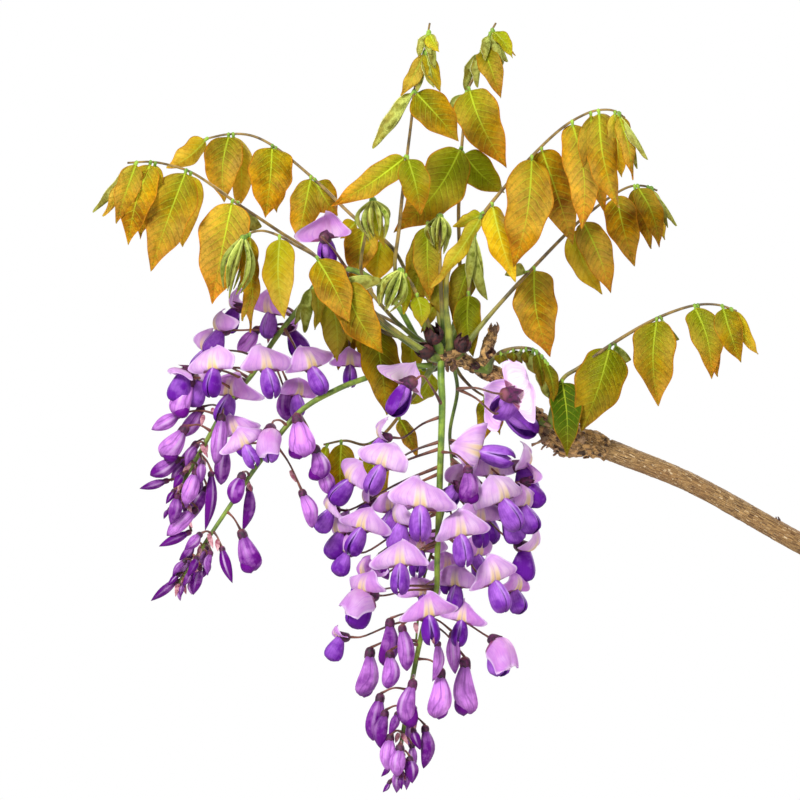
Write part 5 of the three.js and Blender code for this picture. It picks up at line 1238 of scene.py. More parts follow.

# ---- Flower racemes ----
# Each raceme is a soft green stalk that hangs from a spur, with its flowers and buds round it on thin dark
# red stalks of their own. A bud is a violet form folded shut in a downy maroon cup, and the youngest, at the
# tip, still have pink papery bracts.

# A flower is where it sits, its heading, nod and roll in degrees, its size, how far it is still shut, and 1
# if it is white; a white banner is also lit up beyond its own colour, as painted light. A bud is where it
# starts, its tip and its width. Places, widths and radii are in millimetres, and places are from the
# cluster. A raceme's radii are spread evenly along its stalk and thinned to the share that thin says, light
# is the lightness of its green, and bare_length is how much of its stalk, from the cluster on, carries
# nothing.
RACEMES = {
    "raceme_main": {"tip_buds": 12, "bare_length": 18, "thin": 0.82, "light": 0.95,
        "radii": [1.8, 1.6, 1.4, 1.2, 0.9], "stalk": [
        (-1.6, -5, -1), (-1.6, -9, -8), (-1.2, -10, -16), (-2, -11, -44), (-3.2, -12, -80), (-3.6, -12, -92),
        (-8, -12, -104), (-13.2, -12, -128), (-18, -14, -156), (-19.5, -15, -168),
    ], "flowers": [
        ((-12, -19, -8), -136, 22, -32, 1.1, 0, 1), ((-21, -8, -31), -80, 0, 0, 0.8),
        ((-24, -16, -42), -15, 0, 20, 1), ((-34, -5, -48), -50, 0, 32, 0.95),
        ((-10, -27, -58), 0, 0, 0, 1.15), ((-31, -11, -67), -25, 0, 18, 0.95),
        ((-17, -23, -81), -8, 0, 0, 1), ((-36, 4, -77), -70, 0, -10, 0.8),
        ((-7, -25, -101.5), 5, 0, -5, 0.95), ((-27, -8, -94), -50, 0, 10, 1.1, 0.95),
        ((-38, 5, -111), -80, 0, 0, 0.8, 0.3), ((-18, -6, -60), -35, 0, 0, 0.95),
        ((-10, -2, -76), 0, 0, 8, 0.9), ((-28, 2, -86), -55, 0, 0, 0.85), ((-38, 6, -69), -60, 0, 0, 0.9),
        ((-1, 4, -84), 20, 0, 0, 0.8), ((-13, -14, -64), -70, 10, 0, 0.95), ((-26, 4, -57), -100, 0, 0, 0.9),
        ((-42, 0, -60), -65, 0, 20, 0.8), ((-30, -10, -92), -35, 0, 12, 0.85),
        ((-10, 6, -94), 15, 0, -10, 0.8),
    ], "buds": [
        (9, -24, -44, 8.5, -25, -57, 8.5), (-26, -4, -79, -23, -3, -88, 6),
        (-17, -20, -107, -15, -21, -123.6, 7.2), (-22, -10, -105, -24, -10, -122, 8.4),
        (-30, -5, -117, -33, -5, -134.4, 9.2), (-22, -17, -117.5, -22.5, -18, -130.8, 8),
        (-3, -18, -113, -4.5, -19, -128, 5), (-2, -14, -125, -3.5, -14, -142.8, 10),
        (-26, -7, -135, -29, -7, -152, 8), (-24, -15, -141, -26, -16, -154.8, 6.8),
        (-13, -19, -129, -16, -20, -145.6, 8.4), (-12.5, -8, -139, -14.5, -8, -154.8, 4.6),
        (-22, -17, -150.5, -23, -18, -163.6, 6.8), (-8, -13, -147, -8, -13, -162.8, 6.4),
        (-18, -20, -154.5, -19.5, -21, -165.6, 7), (-18, -15, -163, -19.5, -15, -172.4, 4.8),
        (-14, -17, -159, -13, -18, -168.4, 5.6), (-14.5, -12, -162, -15.5, -11, -171.6, 3),
    ]},
    "raceme_rear": {"tip_buds": 0, "bare_length": 10, "thin": 0.5, "light": 0.55,
        "radii": [1.6, 1.4, 1.2, 0.9], "stalk": [
        (3.4, 0, -2), (5, 4, -12), (2, 5, -29), (2.8, 5, -44), (0.5, 5, -56), (-4.4, 5, -74), (-8.8, 5, -89),
        (-10.8, 5, -104), (-11.6, 4, -113),
    ], "flowers": [
        ((22.6, -21.5, -13.6), 134, 4, -60, 1.25, 0, 1), ((11.6, -3.5, -36.5), 20, 0, -75, 1.15),
        ((20, -13, -55.5), 30, 0, -20, 1.1), ((26, 6, -42), 80, 10, 0, 1.05),
        ((5, -22, -69.5), 10, 0, -5, 1.05), ((15, 16, -63), 30, 0, 0, 0.9),
        ((17, -14, -88), 25, 0, -12, 1.05), ((28, 5, -73), 75, 30, 0, 1.05), ((7, -6, -104), -5, 0, 8, 0.85),
        ((18, -6, -111), 40, 20, 0, 1.05, 1), ((21.6, -12, -21), 152, -6, 46, 1.2, 0, 1),
        ((27, -4, -58), 60, 0, 0, 0.95), ((8, -14, -52), -150, -20, -20, 1), ((13, -8, -64), 10, 0, 0, 0.9),
        ((25, 2, -92), 50, 0, 10, 0.8), ((18, 8, -46), 15, 0, -8, 1), ((20, -8, -62), 100, 0, 0, 0.95),
        ((30, 0, -49), 110, 0, 0, 0.85), ((10, 6, -78), 40, 0, 0, 0.85), ((6, -4, -90), -20, 0, 0, 0.85),
    ], "buds": [
        (3, -2, -110, 4, -2, -125.6, 6), (8, -5, -121, 9.5, -5, -141.6, 10),
    ]},
    "raceme_left_upper": {"tip_buds": 12, "bare_length": 52, "thin": 0.82, "light": 0.8,
        "radii": [1.5, 1.4, 1.2, 1], "stalk": [
        (-6, 4, -0.5), (-12, 7, 10), (-22, 6, 26), (-34, 6, 35), (-46, 6, 36), (-58.4, 6, 20.8),
        (-68.4, 6, 8), (-76.8, 6, -5.2), (-86.8, 6, -17.2), (-93.6, 5, -28.8), (-96.8, 5, -34.8),
        (-101.2, 5, -42.4), (-105.6, 5, -50.4), (-108, 5, -60),
    ], "flowers": [
        ((-48.5, -3, 49), 170, 0, 0, 1), ((-86, 9, 12), -70, 0, 0, 0.9),
        ((-90.5, -6, -3.5), -20, 0, 0, 0.95), ((-72, -9, -3.5), 10, 0, -10, 1),
        ((-55, -4, -3), 20, 0, -20, 0.95), ((-38, 9, -2), 0, 0, 0, 0.75), ((-84, 12, -14), -25, 0, 10, 1),
        ((-100, 2, -4), -75, 10, 0, 1, 0.6), ((-94, 8, -8), -60, 0, 0, 0.9),
        ((-80, 14, 21), -100, 0, 0, 0.85), ((-66, 14, 12), 100, 0, 10, 0.9),
        ((-61, 4, -14), 30, 0, 10, 0.75), ((-82, 4, -29), -10, 0, -24, 0.85),
        ((-92, 12, 4), -60, 0, 10, 0.85), ((-68, 12, 20), -30, 10, 0, 0.85),
    ], "buds": [
        (-75.6, 14, 12, -83, 15, 3, 7), (-63, 5, -11, -63.5, 4, -24.5, 8), (-98, 8, -20, -106, 8, -31, 7),
        (-100, 10, -34, -108, 10, -45, 6.5), (-88, 8, -36, -90, 8, -50, 7), (-96, 12, -52, -102, 12, -64, 6),
        (-102, 2, -9, -108, 1, -22.4, 8.8), (-106.8, 6, -22, -117.6, 6, -28, 6),
        (-95, 14, -3, -107, 14, -9, 7), (-104.4, 0, -28, -113.2, -1, -38.8, 9),
        (-107.6, 4, -40, -118, 4, -46.4, 7), (-111.6, 6, -48.4, -122.4, 6, -51.6, 3.6),
        (-89.2, -3, -23.2, -91.6, -3, -42, 6.8), (-99.6, 0, -45.2, -104, -1, -58, 7),
        (-107.2, 2, -54.8, -109.6, 2, -66, 5.6), (-100.4, 7, -60.4, -111.6, 7, -70.4, 6.5),
        (-102.8, 10, -69.2, -114.8, 10, -74.8, 4), (-93.6, 4, -45.6, -95.6, 4, -68.4, 4.8),
    ]},
    "raceme_left_lower": {"tip_buds": 18, "bare_length": 44, "thin": 0.82, "light": 0.8,
        "radii": [1.5, 1.4, 1.1, 0.9], "stalk": [
        (-5, -1.5, -2), (-18, -1, -3.4), (-34.4, -3, -8.2), (-43.6, -6, -12), (-57.6, -10, -20.4),
        (-74.8, -14, -42), (-84.8, -15, -56.8), (-95.2, -15, -72.4), (-100.5, -15, -81), (-107, -15, -90),
    ], "flowers": [
        ((-80, -22, -34), 8, 0, -24, 0.8), ((-69, -21, -26.5), -12, 30, 0, 0.95, 0.95),
    ], "buds": [
        (-58.8, -14, -23.8, -56, -16, -38.8, 10.8), (-51.6, -10, -36, -49.2, -10, -47.6, 8.8),
        (-49, -6, -44, -46, -6, -53.6, 7), (-56.8, -14, -53.2, -52.4, -14, -66.8, 7),
        (-81, -19, -46.5, -84.4, -20, -57.2, 7.5), (-78, -12, -51.2, -80.2, -11, -68.4, 5.2),
        (-80.8, -15, -69.6, -75.6, -15, -84, 9), (-88.8, -17, -75.2, -84.8, -18, -88.8, 4.5),
        (-102.4, -13, -78.4, -105.6, -12, -86.8, 5), (-98, -16, -83.2, -100.4, -16, -93.6, 5),
        (-107, -15, -88, -117.2, -15, -96, 3.6),
    ]},
}
RACEME_SAMPLES = 120
TIP_SHARE = 0.16  # the part of each stalk, at its tip, that the youngest buds crowd round
FLOWER_STALK_RADII = [0.85, 0.5, 0.4, 0.42, 0.6]
# The forms of buds and cups: how wide they are, at places along them, both as shares of the whole.
FULL_BUD = [(0, 0.26), (0.1, 0.46), (0.3, 0.74), (0.5, 0.93), (0.66, 1), (0.8, 0.93), (0.91, 0.66), (1, 0.08)]
SLIM_BUD = [(0, 0.36), (0.12, 0.66), (0.32, 0.97), (0.46, 1), (0.64, 0.84), (0.82, 0.5), (0.94, 0.2),
            (1, 0.02)]
CUP_OUTSIDE = [(0, 0.28), (0.08, 0.6), (0.22, 0.86), (0.5, 1.0), (0.8, 0.98), (1, 0.92)]
CUP_INSIDE = [(0.9, 0.82), (0.65, 0.76), (0.4, 0.6)]
FULL_WIDTH, SLIM_WIDTH = 9.0, 5.5  # a bud this wide is full and rounded, and one this slim is a spindle
SHOWS_WINGS, YOUNG_WIDTH = 8.2, 7.5  # a wider bud shows its darker wings, and a slimmer one is still young
CUP_TEETH = 5
ROUND = 20  # points round a bud or a cup
BUD_ROWS = 15
RACEME_SEED = 300


def stalk_start(path, end, bare_length):
    """The sample of a raceme's stalk that a flower's own stalk leaves from, some way above the flower."""
    step = np.linalg.norm(np.diff(path, axis=0), axis=1).mean()
    away = np.linalg.norm(path - np.array(end), axis=1)
    back = away.argmin() - round(0.45 * away.min() / step)
    return Vector(path[min(max(back, round(bare_length * MM / step)), RACEME_SAMPLES - 1)])


def side_and_face(way, face):
    face = unit(face - face.dot(way) * way)
    return np.cross(way, face), face


def from_top(angles):
    """How far round each angle is from the upper side, from -1 to 1."""
    return np.angle(np.exp(1j * (angles - math.pi / 2))) / math.pi


def tube_places(T, A):
    return np.vstack([[0, 0, 1], np.stack([A, T, np.ones_like(T)], -1).reshape(-1, 3), [0, 1, 1]])


def bud_share(width):
    return min(1.1, max(0.5, width / FULL_WIDTH))


def grow_cup(growth, back, way, face, radius, length, tint, draw, flare=0.0):
    """The downy cup that holds a flower: thin at its stalk, with five blunt teeth round its open end."""
    side, face = side_and_face(way, face)
    angles = angles_round(ROUND)
    teeth = 0.5 + 0.5 * np.cos(CUP_TEETH * (angles - math.pi / 2))
    lean = 1 + 0.35 * np.sin(angles)
    rings, places = [], []
    for share, outline in ((1, CUP_OUTSIDE), (-1, CUP_INSIDE)):
        for along, wide in outline:
            edge = np.clip((along - 0.55) / 0.45, 0, 1)
            lengths = length * (along + (0.24 + 0.3 * flare) * edge * teeth * lean)
            puckers = 1 + 0.05 * np.cos(CUP_TEETH * (angles + math.pi / 2)) * min(1, 2 * along)
            wides = radius * (wide * puckers + flare * edge * teeth)
            rings.append(back + way * lengths[:, None] + ways_round(side, face, angles) * wides[:, None])
            places.append(np.stack([angles / math.pi, np.full(ROUND, along), np.full(ROUND, share)], 1))
    place = np.vstack([[0, 0, 1], *places, [0, 0.35, -1]])
    growth.skin(np.array(rings), back - way * 0.02 * length, back + way * 0.35 * length, tint, 0, place,
                (0, 0, draw.random()))


def grow_bud(growth, base, tip, width, draw, tint):
    """A closed bud from its cup to its tip, a little flattened, with its seam along the outer side."""
    base, tip = np.array(base, float), np.array(tip, float)
    way = unit(tip - base)
    share = bud_share(width)
    outer = np.array([draw.uniform(-1.0, 1.0), -1, draw.uniform(-0.3, 0.6)])
    side, face = side_and_face(way, outer)
    start = base + way * 0.2 * MM * share
    length = np.linalg.norm(tip - start)
    t = 0.5 - 0.5 * np.cos(math.pi * (np.arange(BUD_ROWS) + 0.7) / (BUD_ROWS + 0.2))
    full = min(1, max(0, (width - SLIM_WIDTH) / (FULL_WIDTH - SLIM_WIDTH)))
    wide = 0.5 * width * MM * (full * outline_at(FULL_BUD, t) + (1 - full) * outline_at(SLIM_BUD, t))
    angles = angles_round(ROUND)
    T, A = np.meshgrid(t, from_top(angles), indexing="ij")
    lap = 0.16 + 0.22 * T**2 + 0.04 * np.sin(9 * T)
    crease = 1 + 0.09 * np.exp(-(A / 0.07) ** 2) - 0.12 * np.exp(-((np.abs(A) - lap) / 0.06) ** 2)
    crook = (0.12 * np.sin(math.pi * t) - 0.06 * t**2) * length
    middle = start + way * (t * length)[:, None] + face * crook[:, None]
    rings = middle[:, None] + ways_round(side, 0.82 * face, angles) * (wide[:, None] * crease)[..., None]
    place = tube_places(T, A)
    spot = np.zeros((len(place), 3))
    spot[1:-1, 0] = (np.abs(A) - lap).ravel()
    spot[:, 2] = draw.random()
    end = start + way * length + face * crook[-1]
    growth.skin(rings, start - way * 0.2 * MM, end, tint, 1, place, spot)
    if width > SHOWS_WINGS:  # they stick out below the banner that is still wrapped round them
        lean = (0.1 * face * draw.choice((-1, 1)) - 0.2 * side * np.sign(side[2] + 1e-6)) * width * MM
        inner = start + way * (0.3 + 0.72 * t)[:, None] * length + lean * np.sin(1.9 * t)[:, None]
        wide = 0.36 * width * MM * outline_at(FULL_BUD, t)
        rings = inner[:, None] + ways_round(side, 0.9 * face, angles) * wide[:, None, None]
        end = start + way * 1.03 * length + lean * math.sin(1.9)
        tint = (0.3 * draw.random() - 0.2, tint[1], 0)
        growth.skin(rings, start + way * 0.29 * length, end, tint, 1, place, spot)
    grow_cup(growth, base - way * 2.4 * MM * share, way, face, (0.17 * width + 0.55) * MM, 4.3 * MM * share,
             (draw.uniform(0, 0.6), draw.uniform(0.7, 1.15), 0), draw)


cup = Finish("downy_cup")
place = object_place(cup.tree)
_, paling, light, _ = attribute(cup.tree, "tint")
along = attribute(cup.tree, "place")[2]
mottle = place.grain(700)
body = mottle.span(0.35, 0.65).between((36, 2, 34), (90, 20, 72)).coated(
    (paling * along.span(0.0, 0.35, 1.0, 0.0), (160, 96, 80)),
    (along.span(0.9, 1.0) * 0.5, (134, 60, 108)),
)
cup.shader.inputs["Sheen Weight"].default_value = 0.08
cup.shader.inputs["Sheen Tint"].default_value = colour(220, 150, 190)
cup.lay(body.shaded(light), mottle.span(0.2, 0.8, 0.55, 0.75), place.grain(4000, 2), 0.3, 0.2 * MM)


# A petal's surface: its fine cells, and the veins that fan out over it.
petal_surface, given = shader_group("petal_surface", {
    "Cells Per Metre": 2600.0, "Vein Spread": (9, 1.1, 1), "Vein Scale": 2.2,
})
end_group(petal_surface, {
    "Cells": object_place(petal_surface).grain(given["Cells Per Metre"], 2),
    "Veins": attribute(petal_surface, "place")[0].stretched(given["Vein Spread"]).grain(given["Vein Scale"]),
})


def petal_tissue(petal, body, cells, through_share, height=None):
    """Finishes a petal: fine cells in its surface, a dull gloss, and light let through."""
    petal.shader.inputs["Specular IOR Level"].default_value = 0.15
    relief = cells + height if height else cells
    petal.lay(body, cells.span(0.2, 0.8, 0.42, 0.6), relief, 0.25, 0.2 * MM)
    petal.let_through(body, through_share)
    return petal


def violet_petal(name, deep, light, vein, seam, tip, through_share):
    """A violet petal that runs from deep to light by its tint, with fanned veins and a pale line along its
    seam that is a painted highlight.
    """
    petal = Finish(name)
    _, lightness, shade, seam_highlight_share = attribute(petal.tree, "tint")
    _, across, along, _ = attribute(petal.tree, "place")
    from_lap = attribute(petal.tree, "spot")[1]
    cells, fine_veins = masks_of(petal.tree, petal_surface)
    lightness = lightness + object_place(petal.tree).grain(210, 4).span(0.32, 0.68, -0.26, 0.26)
    lightness = lightness + along.span(0.1, 0.95, 0.16, -0.22)
    body = lightness.span(0.0, 1.0, smooth=False).between(deep, light).coated(
        (fine_veins.span(0.42, 0.62, 0.0, 0.26), vein),
        (abs(from_lap).span(0.05, 0.0, 0.0, 0.45) * along.span(0.02, 0.2), vein),
        # A pale line along the seam: a painted highlight.
        (abs(across).span(0.09, 0.02) * along.span(0.95, 0.4) * seam_highlight_share, seam),
        (along.span(0.02, 0.3, 0.6, 0.0), vein),
        (along.span(0.86, 1.0, 0.0, 0.7), tip),
    )
    return petal_tissue(petal, body.shaded(shade), cells, through_share)


bud_petal = violet_petal("bud_petal", (112, 6, 140), (230, 150, 246), (92, 8, 126), (240, 206, 248),
                         (84, 10, 100), 0.24)
wing_petal = violet_petal("wing_petal", (112, 26, 166), (204, 130, 242), (92, 8, 146), (226, 196, 250),
                          (80, 6, 110), 0.28)
papery = Finish("papery_bract")
mottle = object_place(papery.tree).grain(500).span(0.35, 0.65)
pink = mottle.between((176, 100, 120), (232, 186, 192))
petal_tissue(papery, pink, masks_of(papery.tree, petal_surface)[0], 0.4)


def grow_hanging_bud(growth, path, bare_length, base, tip, width, draw, bract):
    behind = (base - tip).normalized()
    start = stalk_start(path, base, bare_length)
    joint = base + behind * 2.2 * bud_share(width) * MM
    middle = start.lerp(joint, 0.55) + Vector((0, 0, 0.08 * (joint - start).length)) + behind * 0.6 * MM
    curve = smooth_path([start, middle, joint], 14)
    growth.stalk(curve, FLOWER_STALK_RADII, (0.1, draw.uniform(0.8, 1.1), 0.85))
    young = max(0.0, min(1.0, (YOUNG_WIDTH - width) / 4))
    light = draw.uniform(0.1, 1.05) - 0.4 * young
    tint = (light, draw.uniform(0.85, 1.1) - 0.2 * young, draw.uniform(0.1, 0.7))
    grow_bud(growth, base, tip, width, draw, tint)
    if bract:
        foot = start.lerp(joint, draw.uniform(0.1, 0.6))
        way = Vector((draw.uniform(-0.6, 0.6), draw.uniform(-0.8, 0.2), -1)).normalized()
        tip = foot + way * draw.uniform(4, 7) * MM
        thin_blade(growth, foot, tip, (0, -1, 0.2), 2.2, PLATE, (0, draw.uniform(0.7, 1.1), 0), finish=2,
                   rows=8, sides=3, bow=0.15, fold=0.4, thickness=0.15)


flower_places = {}
for number, (name, raceme) in enumerate(RACEMES.items()):
    draw = random.Random(RACEME_SEED + number)
    growth = Growth()
    path = evenly(smooth_path([point(*p) for p in raceme["stalk"]], 400), RACEME_SAMPLES + 1)
    growth.stalk(path, [raceme["thin"] * radius for radius in raceme["radii"]], (1.9, raceme["light"], 0.05))
    for index, (at, heading, nod, roll, size, *own) in enumerate(raceme["flowers"], 1):
        turn = Matrix()
        for degrees, axis in ((heading, "Z"), (nod, "X"), (roll, "Y")):
            turn = turn @ Matrix.Rotation(math.radians(degrees), 4, axis)
        flower_places[f"{name.replace('raceme', 'flower')}_{index:02d}"] = point(*at), turn, size, own
        behind = turn @ Vector((0, 1, 0))
        end = point(*at) + behind * 0.3 * MM
        start = stalk_start(path, end, raceme["bare_length"])
        approach = end + behind * 4 * MM
        curve = smooth_path([start, start.lerp(approach, 0.5) + Vector((0, 0, 1.2 * MM)), approach, end], 16)
        growth.stalk(curve, FLOWER_STALK_RADII, (0.15, draw.uniform(0.8, 1.1), 0.8))
    for *ends, width in raceme["buds"]:
        grow_hanging_bud(growth, path, raceme["bare_length"], point(*ends[:3]), point(*ends[3:]), width, draw,
                         width < YOUNG_WIDTH)
    for index in range(raceme["tip_buds"]):
        older = 1 - index / raceme["tip_buds"]
        centre = Vector(path[int((1 - TIP_SHARE * older**1.2) * RACEME_SAMPLES)])
        onward = Vector(path[-1] - path[-12]).normalized()
        outward = square_to(onward, 2.4 * index + draw.uniform(-0.4, 0.4))
        way = onward * draw.uniform(0.8, 1.2) + outward * draw.uniform(0.25, 0.8) + Vector((0, 0, -0.35))
        way.normalize()
        base = centre + outward * (1.4 + 4.5 * older * draw.uniform(0.5, 1)) * MM + way * 2 * MM
        tip = base + way * (4.5 + 6.0 * older * draw.uniform(0.7, 1)) * MM
        width = 1.8 + 2.6 * older * draw.uniform(0.7, 1.1)
        grow_hanging_bud(growth, path, 0, base, tip, width, draw, index % 3 == 0)
    piece = growth.as_object(name.replace("raceme_", "") + "_raceme", cup, bud_petal, papery)
    use_tree(piece, stalks, {"Sides": 10, "Material": soft_stalk.material})
    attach(piece, "root")
    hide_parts(name)

# ---- Open flowers ----
# A pea flower on its downy cup: the lilac banner stands up and rolls back, with a cream blotch and two raised
# ridges at its heart, and the two deep violet wings hang below it, pressed round the beaked keel.

# Lines are (y, z) points along a petal's middle, and outlines its half width at shares of its length. Both
# are in millimetres, but a wing's outline and depth are shares of its half width and its depth.
BANNER_LINE = [(-3.2, -0.6), (-5.4, -0.6), (-6.9, 0.8), (-7.4, 3.6), (-6.4, 6.6), (-4.2, 8.8), (-2.8, 9.6)]
HOOD_LINE = [(-2.8, -0.2), (-4.4, 2), (-7.2, 2.8), (-10.4, 1.8), (-13.2, -1), (-15, -4.2), (-15.8, -6.4)]
HOOD_OUTLINE = [(0, 1.6), (0.06, 4), (0.16, 6.6), (0.34, 8.6), (0.55, 8.8), (0.75, 7), (0.9, 4), (1, 0)]
ROUND_BANNER = [(0, 1.8), (0.06, 4.8), (0.14, 8), (0.25, 10.2), (0.38, 11), (0.52, 10.4), (0.68, 8.6),
                (0.82, 6.2), (0.93, 3.6), (1, 0)]
PEAKED_BANNER = [(0, 1.8), (0.06, 5.2), (0.13, 9), (0.23, 11.6), (0.33, 12.2), (0.45, 10.6), (0.62, 7.4),
                 (0.79, 4.4), (0.92, 2.2), (1, 0)]
HALF_BANNER = 10.5  # half the width of a banner, by which its roll and its droop are measured
BANNER_ROWS, BANNER_COLUMNS = 20, 21
LINE_SAMPLES = 200
HOOD_RADIUS, HOOD_TURN = 6.6, 1.35  # how tightly, and how far round, a shut banner wraps the wings
WING_TOP, WING_END = np.array([0, -4.1, 1.2]), np.array([0, -9.8, -11.8])
WING_HALF, WING_DEEP = 3.85, 4.9  # how far a wing stands out to its side, and ahead of the keel
WING_ROWS, WING_COLUMNS = 15, 12
WING_LONG, DOWN = np.linalg.norm(WING_END - WING_TOP), unit(WING_END - WING_TOP)
AHEAD = np.array([0, DOWN[2], -DOWN[1]])
KEEL_ROWS, KEEL_AROUND, KEEL_HALF = 12, 18, 3.0
WING_OUTLINE = [(0, 0.18), (0.08, 0.36), (0.2, 0.64), (0.36, 0.88), (0.54, 1.0), (0.7, 0.97), (0.84, 0.8),
                (0.94, 0.52), (1, 0.16)]
WING_DEPTH = [(0, 0.16), (0.1, 0.36), (0.25, 0.6), (0.45, 0.84), (0.64, 1.0), (0.79, 1.0), (0.9, 0.84),
              (0.96, 0.6), (1, 0.16)]
SIDEWAYS = np.array([1.0, 0, 0])
FLOWER_SEED = 500

banner = Finish("banner_petal")
_, whiteness, light, blotch = attribute(banner.tree, "tint")
_, across, up, side = attribute(banner.tree, "place")
from_middle = attribute(banner.tree, "spot")[1]
veining = {"Vein Spread": (14, 1.4, 1), "Vein Scale": 1.6}
cells, fine_veins = masks_of(banner.tree, petal_surface, veining)
to_edge = abs(across).at_least(up)
from_middle = abs(from_middle) * up.span(0.15, 0.9, 1.05, 2.2, smooth=False)
heart = from_middle.span(3.6, 2.4) * up.span(0.9, 0.3) * side.span(-0.1, 0.6) * up.span(0.02, 0.1) * blotch
ridges = abs(from_middle - 1.5).span(1.4, 0.5) * heart
yellowing = up.span(0.75, 0.15, 0.3, 1.0) - whiteness * 0.35
low = up + from_middle.span(1.2, 2.4, 0.08, -0.06) + from_middle.span(4.5, 6.5, 0.0, 0.16)
patchy = whiteness + object_place(banner.tree).grain(140).span(0.3, 0.7, -0.2, 0.2)
body = patchy.span(0.0, 1.0, smooth=False).between((212, 136, 218), (253, 238, 249)).coated(
    (fine_veins.span(0.45, 0.65, 0.0, 0.3), (176, 104, 214)),
    (to_edge.span(0.35, 0.95, 0.0, 0.5), (204, 138, 222)),
    (to_edge.span(0.86, 0.96, 0.0, 0.5), (250, 240, 252)),
    (to_edge.span(0.975, 1.0, 0.0, 0.6), (150, 70, 190)),
    (heart * 0.85, (250, 238, 214)),
    (ridges * yellowing, (246, 212, 124)),
    (from_middle.span(0.55, 0.15) * heart * 0.6, (206, 160, 176)),
    (low.span(0.19, 0.11) * fine_veins.span(0.3, 0.6, 1.0, 0.7), (132, 36, 80)),
)
petal_tissue(banner, body.shaded(light), cells, 0.34, fine_veins * 1.5)


def grow_banner(growth, shut, white, whiteness, light, value, draw):
    """The banner, rolled back more at its sides than along its middle, its side tips drooping."""
    v = np.linspace(0.01, 0.985, BANNER_ROWS)
    folded_forward = [(1 - shut) * np.array(a) + shut * np.array(b) for a, b in zip(BANNER_LINE, HOOD_LINE)]
    line = evenly(smooth_path([(0, y, z) for y, z in folded_forward], LINE_SAMPLES), LINE_SAMPLES)
    samples = np.linspace(0, 1, LINE_SAMPLES)
    centre_y, centre_z = (np.interp(v, samples, line[:, axis])[:, None] for axis in (1, 2))
    u = np.linspace(-1, 1, BANNER_COLUMNS)
    V, U = np.meshgrid(v, np.sign(u) * np.abs(u) ** 0.85, indexing="ij")
    opened = 1 - 0.8 * shut
    wavy = 1 + 0.07 * opened * np.sin(11 * V + draw.uniform(0, 6) + 2 * np.sign(U))
    peaked = draw.uniform(0.2, 1.2)
    open_half = (1 - peaked) * outline_at(ROUND_BANNER, v) + peaked * outline_at(PEAKED_BANNER, v)
    half = (1 - shut) * open_half + shut * outline_at(HOOD_OUTLINE, v)
    one_side = 1 + draw.uniform(-0.16, 0.08) * (U > 0) + draw.uniform(-0.16, 0.08) * (U < 0)
    X = U * half[:, None] * wavy * one_side
    roll_back, droop = draw.uniform(1.0, 5.0) * (1 - shut) * (1 - white), draw.uniform(-1.0, 1.0)
    lifting = draw.uniform(-1.4, 1.4)
    ridge = np.exp(-((np.abs(X) - 1.2) / 0.6) ** 2) * np.clip((V - 0.1) * 8, 0, 1)
    ridge = ridge * np.clip((0.75 - V) * 5, 0, 1)
    groove = np.exp(-(X / 0.7) ** 2) * np.clip(V * 3, 0, 1)
    ruffle = np.sin(2.6 * math.pi * V + 4 * np.abs(U) + draw.uniform(0, 6) + np.sign(U))
    ruffle = ruffle * np.abs(U) ** 2 * opened
    drooping = droop * np.abs(X / HALF_BANNER) ** 1.6
    Y = centre_y + roll_back * (X / HALF_BANNER) ** 2 + 0.5 * groove - 0.6 * ridge + 0.9 * ruffle
    Z = centre_z - drooping + lifting * U + 0.3 * ruffle * V
    if shut:  # the banner is still folded forward over the wings, like a hood
        wrapped = HOOD_TURN * shut * X / HOOD_RADIUS
        Z = Z - HOOD_RADIUS * (1 - np.cos(wrapped)) + drooping * shut
        X = HOOD_RADIUS * np.sin(wrapped) / (HOOD_TURN * shut)
    middle = np.stack([X, Y, Z], -1) * MM
    thick = (0.14 * (1 - np.abs(U) ** 3) * (1 - 0.6 * V) + 0.02) * MM
    thick[:, [0, -1]] = 0
    # A white banner is whiter in colour, and is also lit up by 0.18 as painted light.
    tint = (whiteness + 0.4 * white, light + 0.18 * white, draw.uniform(0.8, 1.0))
    ends = middle[[0, -1], BANNER_COLUMNS // 2]
    grow_sheet(growth, middle, ends, thick, (U, V), (X, Z), tint, 1, value)


def grow_wings(growth, wing_light, light, value, draw):
    """The two wings, curved round the keel, their front edges parting a little towards the ends."""
    t = np.linspace(0.02, 0.985, WING_ROWS)
    profile, depth = outline_at(WING_OUTLINE, t)[:, None], outline_at(WING_DEPTH, t)[:, None]
    parting = draw.uniform(0.0, 1.05) ** 4
    for sign in (-1, 1):
        T, A = np.meshgrid(t, np.radians(np.linspace(2, 152, WING_COLUMNS)) * sign, indexing="ij")
        hollow = 1 - 0.1 * np.exp(-((np.abs(A) - 1.15) / 0.3) ** 2) * np.sin(math.pi * T)
        parted = sign * parting * T**3 * np.clip(1 - np.abs(A) / 1.6, 0, 1)
        flare = 0.5 * sign * np.clip((T - 0.6) * 2.5, 0, 1) * np.sin(np.abs(A))
        sideways = WING_HALF * profile * hollow * np.sin(A) + parted + flare
        forward = WING_DEEP * depth * hollow * (np.cos(A) - 0.1 * np.exp(-(A / 0.2) ** 2))
        middle = WING_TOP + T[..., None] * WING_LONG * DOWN + forward[..., None] * AHEAD
        middle = middle + sideways[..., None] * SIDEWAYS
        across = np.broadcast_to(np.linspace(0, 1, WING_COLUMNS)[None], T.shape)
        thick = np.full(T.shape, 0.1 * MM)
        thick[:, [0, -1]] = 0
        top = WING_TOP - 0.2 * DOWN + 0.3 * AHEAD
        tip = WING_TOP + DOWN * (WING_LONG + 0.2) + sign * (0.4 + 0.5 * parting) * SIDEWAYS
        tint = (wing_light + draw.uniform(-0.12, 0.12), light, 0.4)
        grow_sheet(growth, middle * MM, (top * MM, tip * MM), thick, (across, T), (np.full(T.shape, 9.0), T),
                   tint, 2, value)


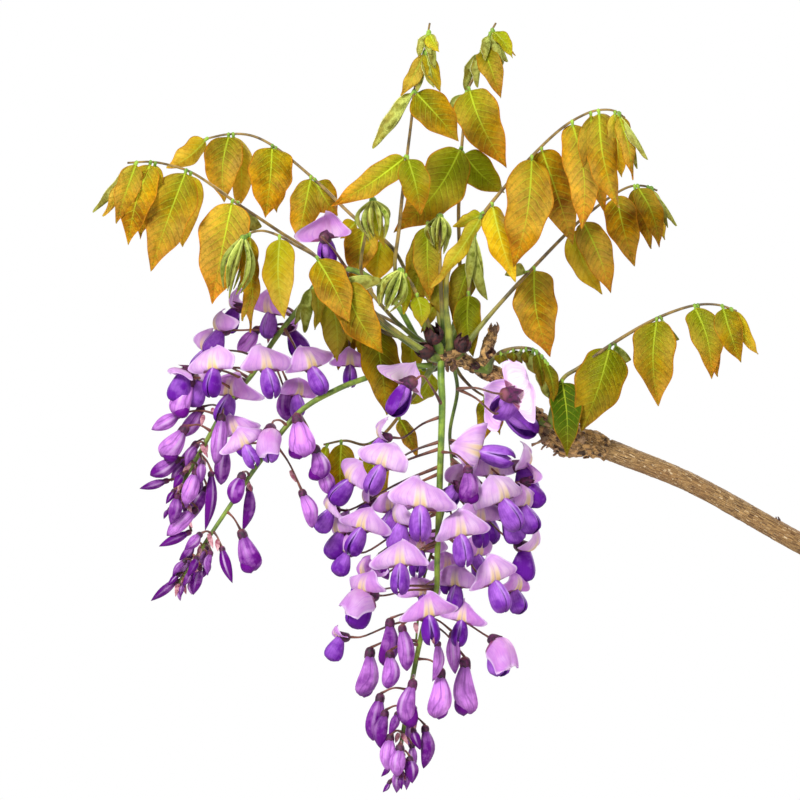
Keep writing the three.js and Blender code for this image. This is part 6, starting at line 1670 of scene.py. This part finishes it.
def grow_keel(growth, value):
    """The keel between the wings, ending in an upturned beak."""
    t = np.linspace(0.03, 0.97, KEEL_ROWS)
    angles = angles_round(KEEL_AROUND)
    wide = KEEL_HALF * outline_at(SLIM_BUD, t)
    beak = 1.6 * np.clip((t - 0.55) / 0.45, 0, 1) ** 2
    centre = WING_TOP + t[:, None] * (WING_LONG - 1.2) * DOWN + beak[:, None] * AHEAD
    rings = (centre[:, None] + ways_round(0.8 * SIDEWAYS, AHEAD, angles) * wide[:, None, None]) * MM
    place = tube_places(*np.meshgrid(t, from_top(angles), indexing="ij"))
    tip = (WING_TOP + (WING_LONG - 1.0) * DOWN + 1.8 * AHEAD) * MM
    growth.skin(rings, WING_TOP * MM, tip, (0.9, 1.0, 0.5), 2, place, (9, 0, value))


def grow_flower(name, where, turn, size, shut, white, whiteness, draw):
    growth = Growth()
    value = draw.random()
    light = draw.uniform(0.94, 1.04)
    wing_light = draw.uniform(0.1, 0.75) + 0.4 * (whiteness - 0.5) * (1 - white)
    grow_cup(growth, np.array([0, 0.2, 0]) * MM, np.array([0, -1.0, 0]), np.array([0, 0, 1.0]), 2.5 * MM,
             4.6 * MM, (draw.uniform(0, 0.4), draw.uniform(0.8, 1.2), 0), draw, 0.45)
    grow_banner(growth, shut, white, whiteness, light, value, draw)
    grow_wings(growth, wing_light, light, value, draw)
    grow_keel(growth, value)
    piece = growth.as_object(name.replace("flower_", "") + "_flower", cup, banner, wing_petal)
    piece.data.transform(Matrix.Translation(where) @ turn @ Matrix.Scale(size, 4))
    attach(piece, "root")
    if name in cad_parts:
        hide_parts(name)


for number, (name, (where, turn, size, own)) in enumerate(flower_places.items()):
    draw = random.Random(FLOWER_SEED + number)
    height = (where.z - CLUSTER.z) / MM
    whiteness = (0.4 if "left" in name else 0.45 + (height + 60) / 160) + draw.uniform(-0.15, 0.15)
    shut, white = [*own, 0, 0][:2]
    grow_flower(name, where, turn, size, shut, white, max(0.05, min(1.0, whiteness)), draw)

# ---- Size ----
# The box of this model, in metres.
low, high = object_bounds()
